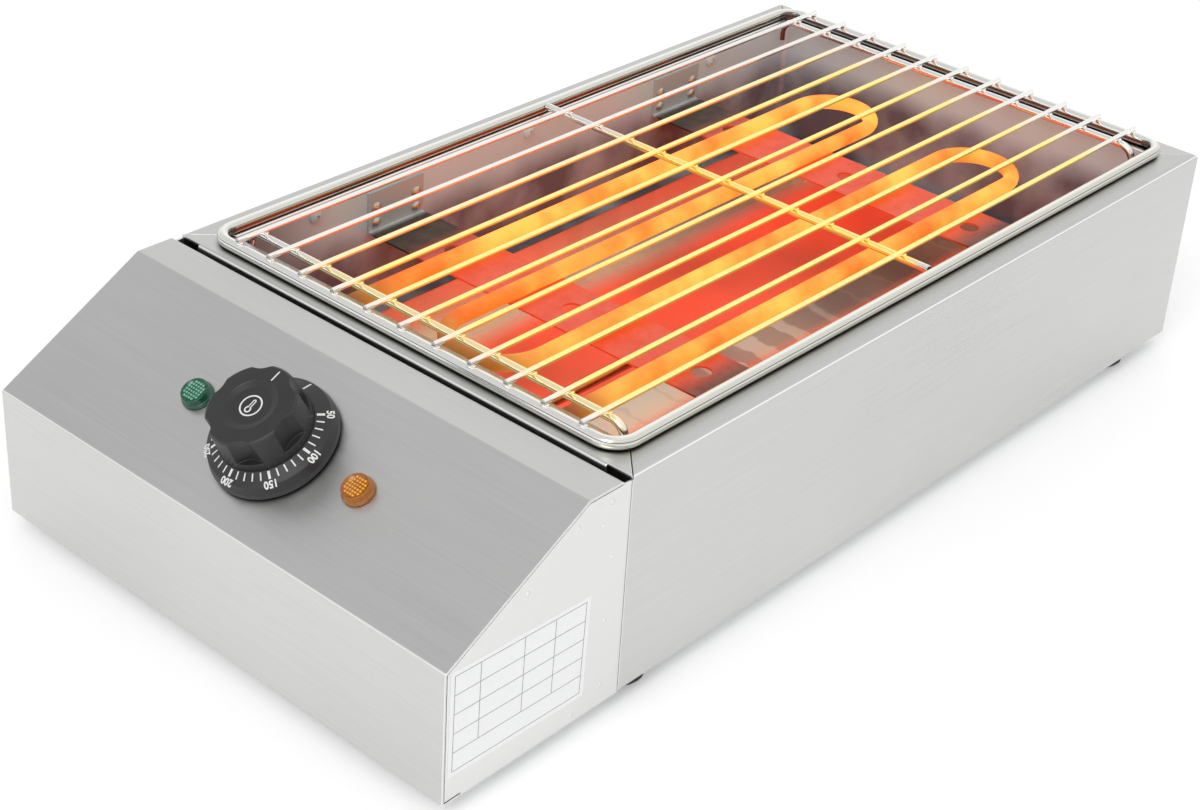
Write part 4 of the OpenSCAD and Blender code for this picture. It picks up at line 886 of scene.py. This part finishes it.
def lathe(name, profile, n=64):
    """A closed solid turned round Z from a profile that starts and ends on the axis."""
    rings = profile[1:-1]
    points = [(0, 0, profile[0][1]), (0, 0, profile[-1][1])]
    points += [(r * math.cos(2 * math.pi * i / n), r * math.sin(2 * math.pi * i / n), z)
               for r, z in rings for i in range(n)]
    faces = []
    for i in range(n):
        j = (i + 1) % n
        faces.append((0, 2 + j, 2 + i))
        for k in range(len(rings) - 1):
            a, b = 2 + k * n, 2 + (k + 1) * n
            faces.append((a + i, a + j, b + j, b + i))
        last = 2 + (len(rings) - 1) * n
        faces.append((1, last + i, last + j))
    mesh = bpy.data.meshes.new(name)
    mesh.from_pydata(points, [], faces)
    return mesh


lens_profile = [(0, 0.05), (7.1, 0.05), (7.3, 0.25), (7.3, 1.3), (7.0, 1.6), (6.7, 1.7),
                (6.6, 2.0), (6.45, 3.9), (6.3, 4.4), (6.1, 4.65), (5.9, 4.6), (5.8, 4.3),
                (0, 4.5)]
lamp_x, body_glow, facet_glow, prism_foot = 0.0505, 0.03, 0.12, 0.00435
lenses = {"green": (-lamp_x, ("#0A4433", "#146048"), ("#62B893", "#A6E0C6")),
          "amber": (lamp_x, ("#8C4A06", "#C47814"), ("#F09A1E", "#FFC456"))}
for colour, (x, deep, bright) in lenses.items():
    finish = lens_plastic(f"{colour}_polycarbonate", *deep, body_glow)
    facets = lens_plastic(f"{colour}_prism_facets", *bright, facet_glow)
    stand = Matrix.Translation((x, 0, 0))
    body = lathe(f"lens_{colour}", [(r / 1000, h / 1000) for r, h in lens_profile])
    body.shade_smooth()
    body.transform(panel @ stand)
    lens = link(f"lens_{colour}", body, finish)
    field = grow(f"lens_prisms_{colour}", prisms, [(0, 0, 0)], facets,
                 panel @ stand @ Matrix.Translation((0, 0, prism_foot)),
                 Field=0.0054, Pitch=0.00144, Depth=0.0007)
    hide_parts(f"lamp_lens_{colour}")
    for piece in (lens, field):
        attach(piece, "grill_body")

# ---- Feet ----
# Turned-in rubber feet, each held by a screw in its pocket. Rubber is deep grey and dull,
# with dust on it.
rubber, tree = empty_material("black_rubber")
place = add(tree, "ShaderNodeTexCoord")
dust = add(tree, "ShaderNodeTexNoise", {"Vector": place.outputs["Object"], "Scale": 300,
           "Detail": 4})
tone = add(tree, "ShaderNodeMix", {0: dust.outputs[0], 6: linear("#1A1A1A"),
           7: linear("#333331")}, data_type="RGBA")
relief = add(tree, "ShaderNodeBump", {"Strength": 0.2, "Distance": 0.0001,
             "Height": dust.outputs[0]})
skin = add(tree, "ShaderNodeBsdfPrincipled", {"Base Color": tone.outputs[2],
           "Roughness": 0.75, "IOR": 1.52, "Normal": relief.outputs[0]})
add(tree, "ShaderNodeOutputMaterial", {"Surface": skin.outputs[0]})
dress(rubber, "rubber_feet", "cord_grommet")

# ---- Parts inside the housing ----
# Thermostat, terminals, lamp bodies, wires and the cord clamp. They only show through the
# air slots and with the tray and the rack out, but each has its own finish.


def moulded(name, dark, light, rough, ior=1.5):
    """Moulded plastic or ceramic with a faint orange-peel skin of 0.5 mm."""
    made, tree = empty_material(name)
    place = add(tree, "ShaderNodeTexCoord")
    peel = add(tree, "ShaderNodeTexNoise", {"Vector": place.outputs["Object"],
               "Scale": 2000, "Detail": 1})
    cloud = add(tree, "ShaderNodeTexNoise", {"Vector": place.outputs["Object"], "Scale": 45})
    tone = add(tree, "ShaderNodeMix", {0: cloud.outputs[0], 6: linear(dark),
               7: linear(light)}, data_type="RGBA")
    relief = add(tree, "ShaderNodeBump", {"Strength": 0.08, "Distance": 0.0001,
                 "Height": peel.outputs[0]})
    skin = add(tree, "ShaderNodeBsdfPrincipled", {"Base Color": tone.outputs[2],
               "Roughness": rough, "IOR": ior, "Normal": relief.outputs[0]})
    add(tree, "ShaderNodeOutputMaterial", {"Surface": skin.outputs[0]})
    return made


def bare_metal(name, dark, light, low, high, scale=80):
    """Bare metal, dulled unevenly by handling and air."""
    made, tree = empty_material(name)
    place = add(tree, "ShaderNodeTexCoord")
    cloud = add(tree, "ShaderNodeTexNoise", {"Vector": place.outputs["Object"],
                "Scale": scale, "Detail": 4})
    tone = add(tree, "ShaderNodeMix", {0: cloud.outputs[0], 6: linear(dark),
               7: linear(light)}, data_type="RGBA")
    sheen = add(tree, "ShaderNodeMapRange", {"Value": cloud.outputs[0], "To Min": low,
                "To Max": high})
    metal = add(tree, "ShaderNodeBsdfPrincipled", {"Base Color": tone.outputs[2],
                "Metallic": 1, "Roughness": sheen.outputs[0]})
    add(tree, "ShaderNodeOutputMaterial", {"Surface": metal.outputs[0]})
    return made


dress(moulded("polyamide_terminal_block", "#DAD6C8", "#EFECE2", 0.4, 1.53), "terminal_block",
      "lamp_bodies", "lamp_nuts", "cord_clamp")
dress(moulded("glazed_ceramic", "#D9D2C2", "#F1ECE0", 0.15, 1.6), "element_pins")
dress(moulded("black_phenolic_case", "#17171A", "#2A2A2C", 0.5, 1.55), "thermostat_body")
dress(moulded("silicone_wire_cover", "#8E1B16", "#B92A22", 0.55, 1.43), "wiring")
dress(bare_metal("turned_brass", "#A98846", "#D9BC78", 0.2, 0.4), "element_bushings",
      "element_nuts")
dress(bare_metal("drawn_copper", "#9A5B3C", "#D98F68", 0.2, 0.42), "thermostat_bulb",
      "capillary_tube")
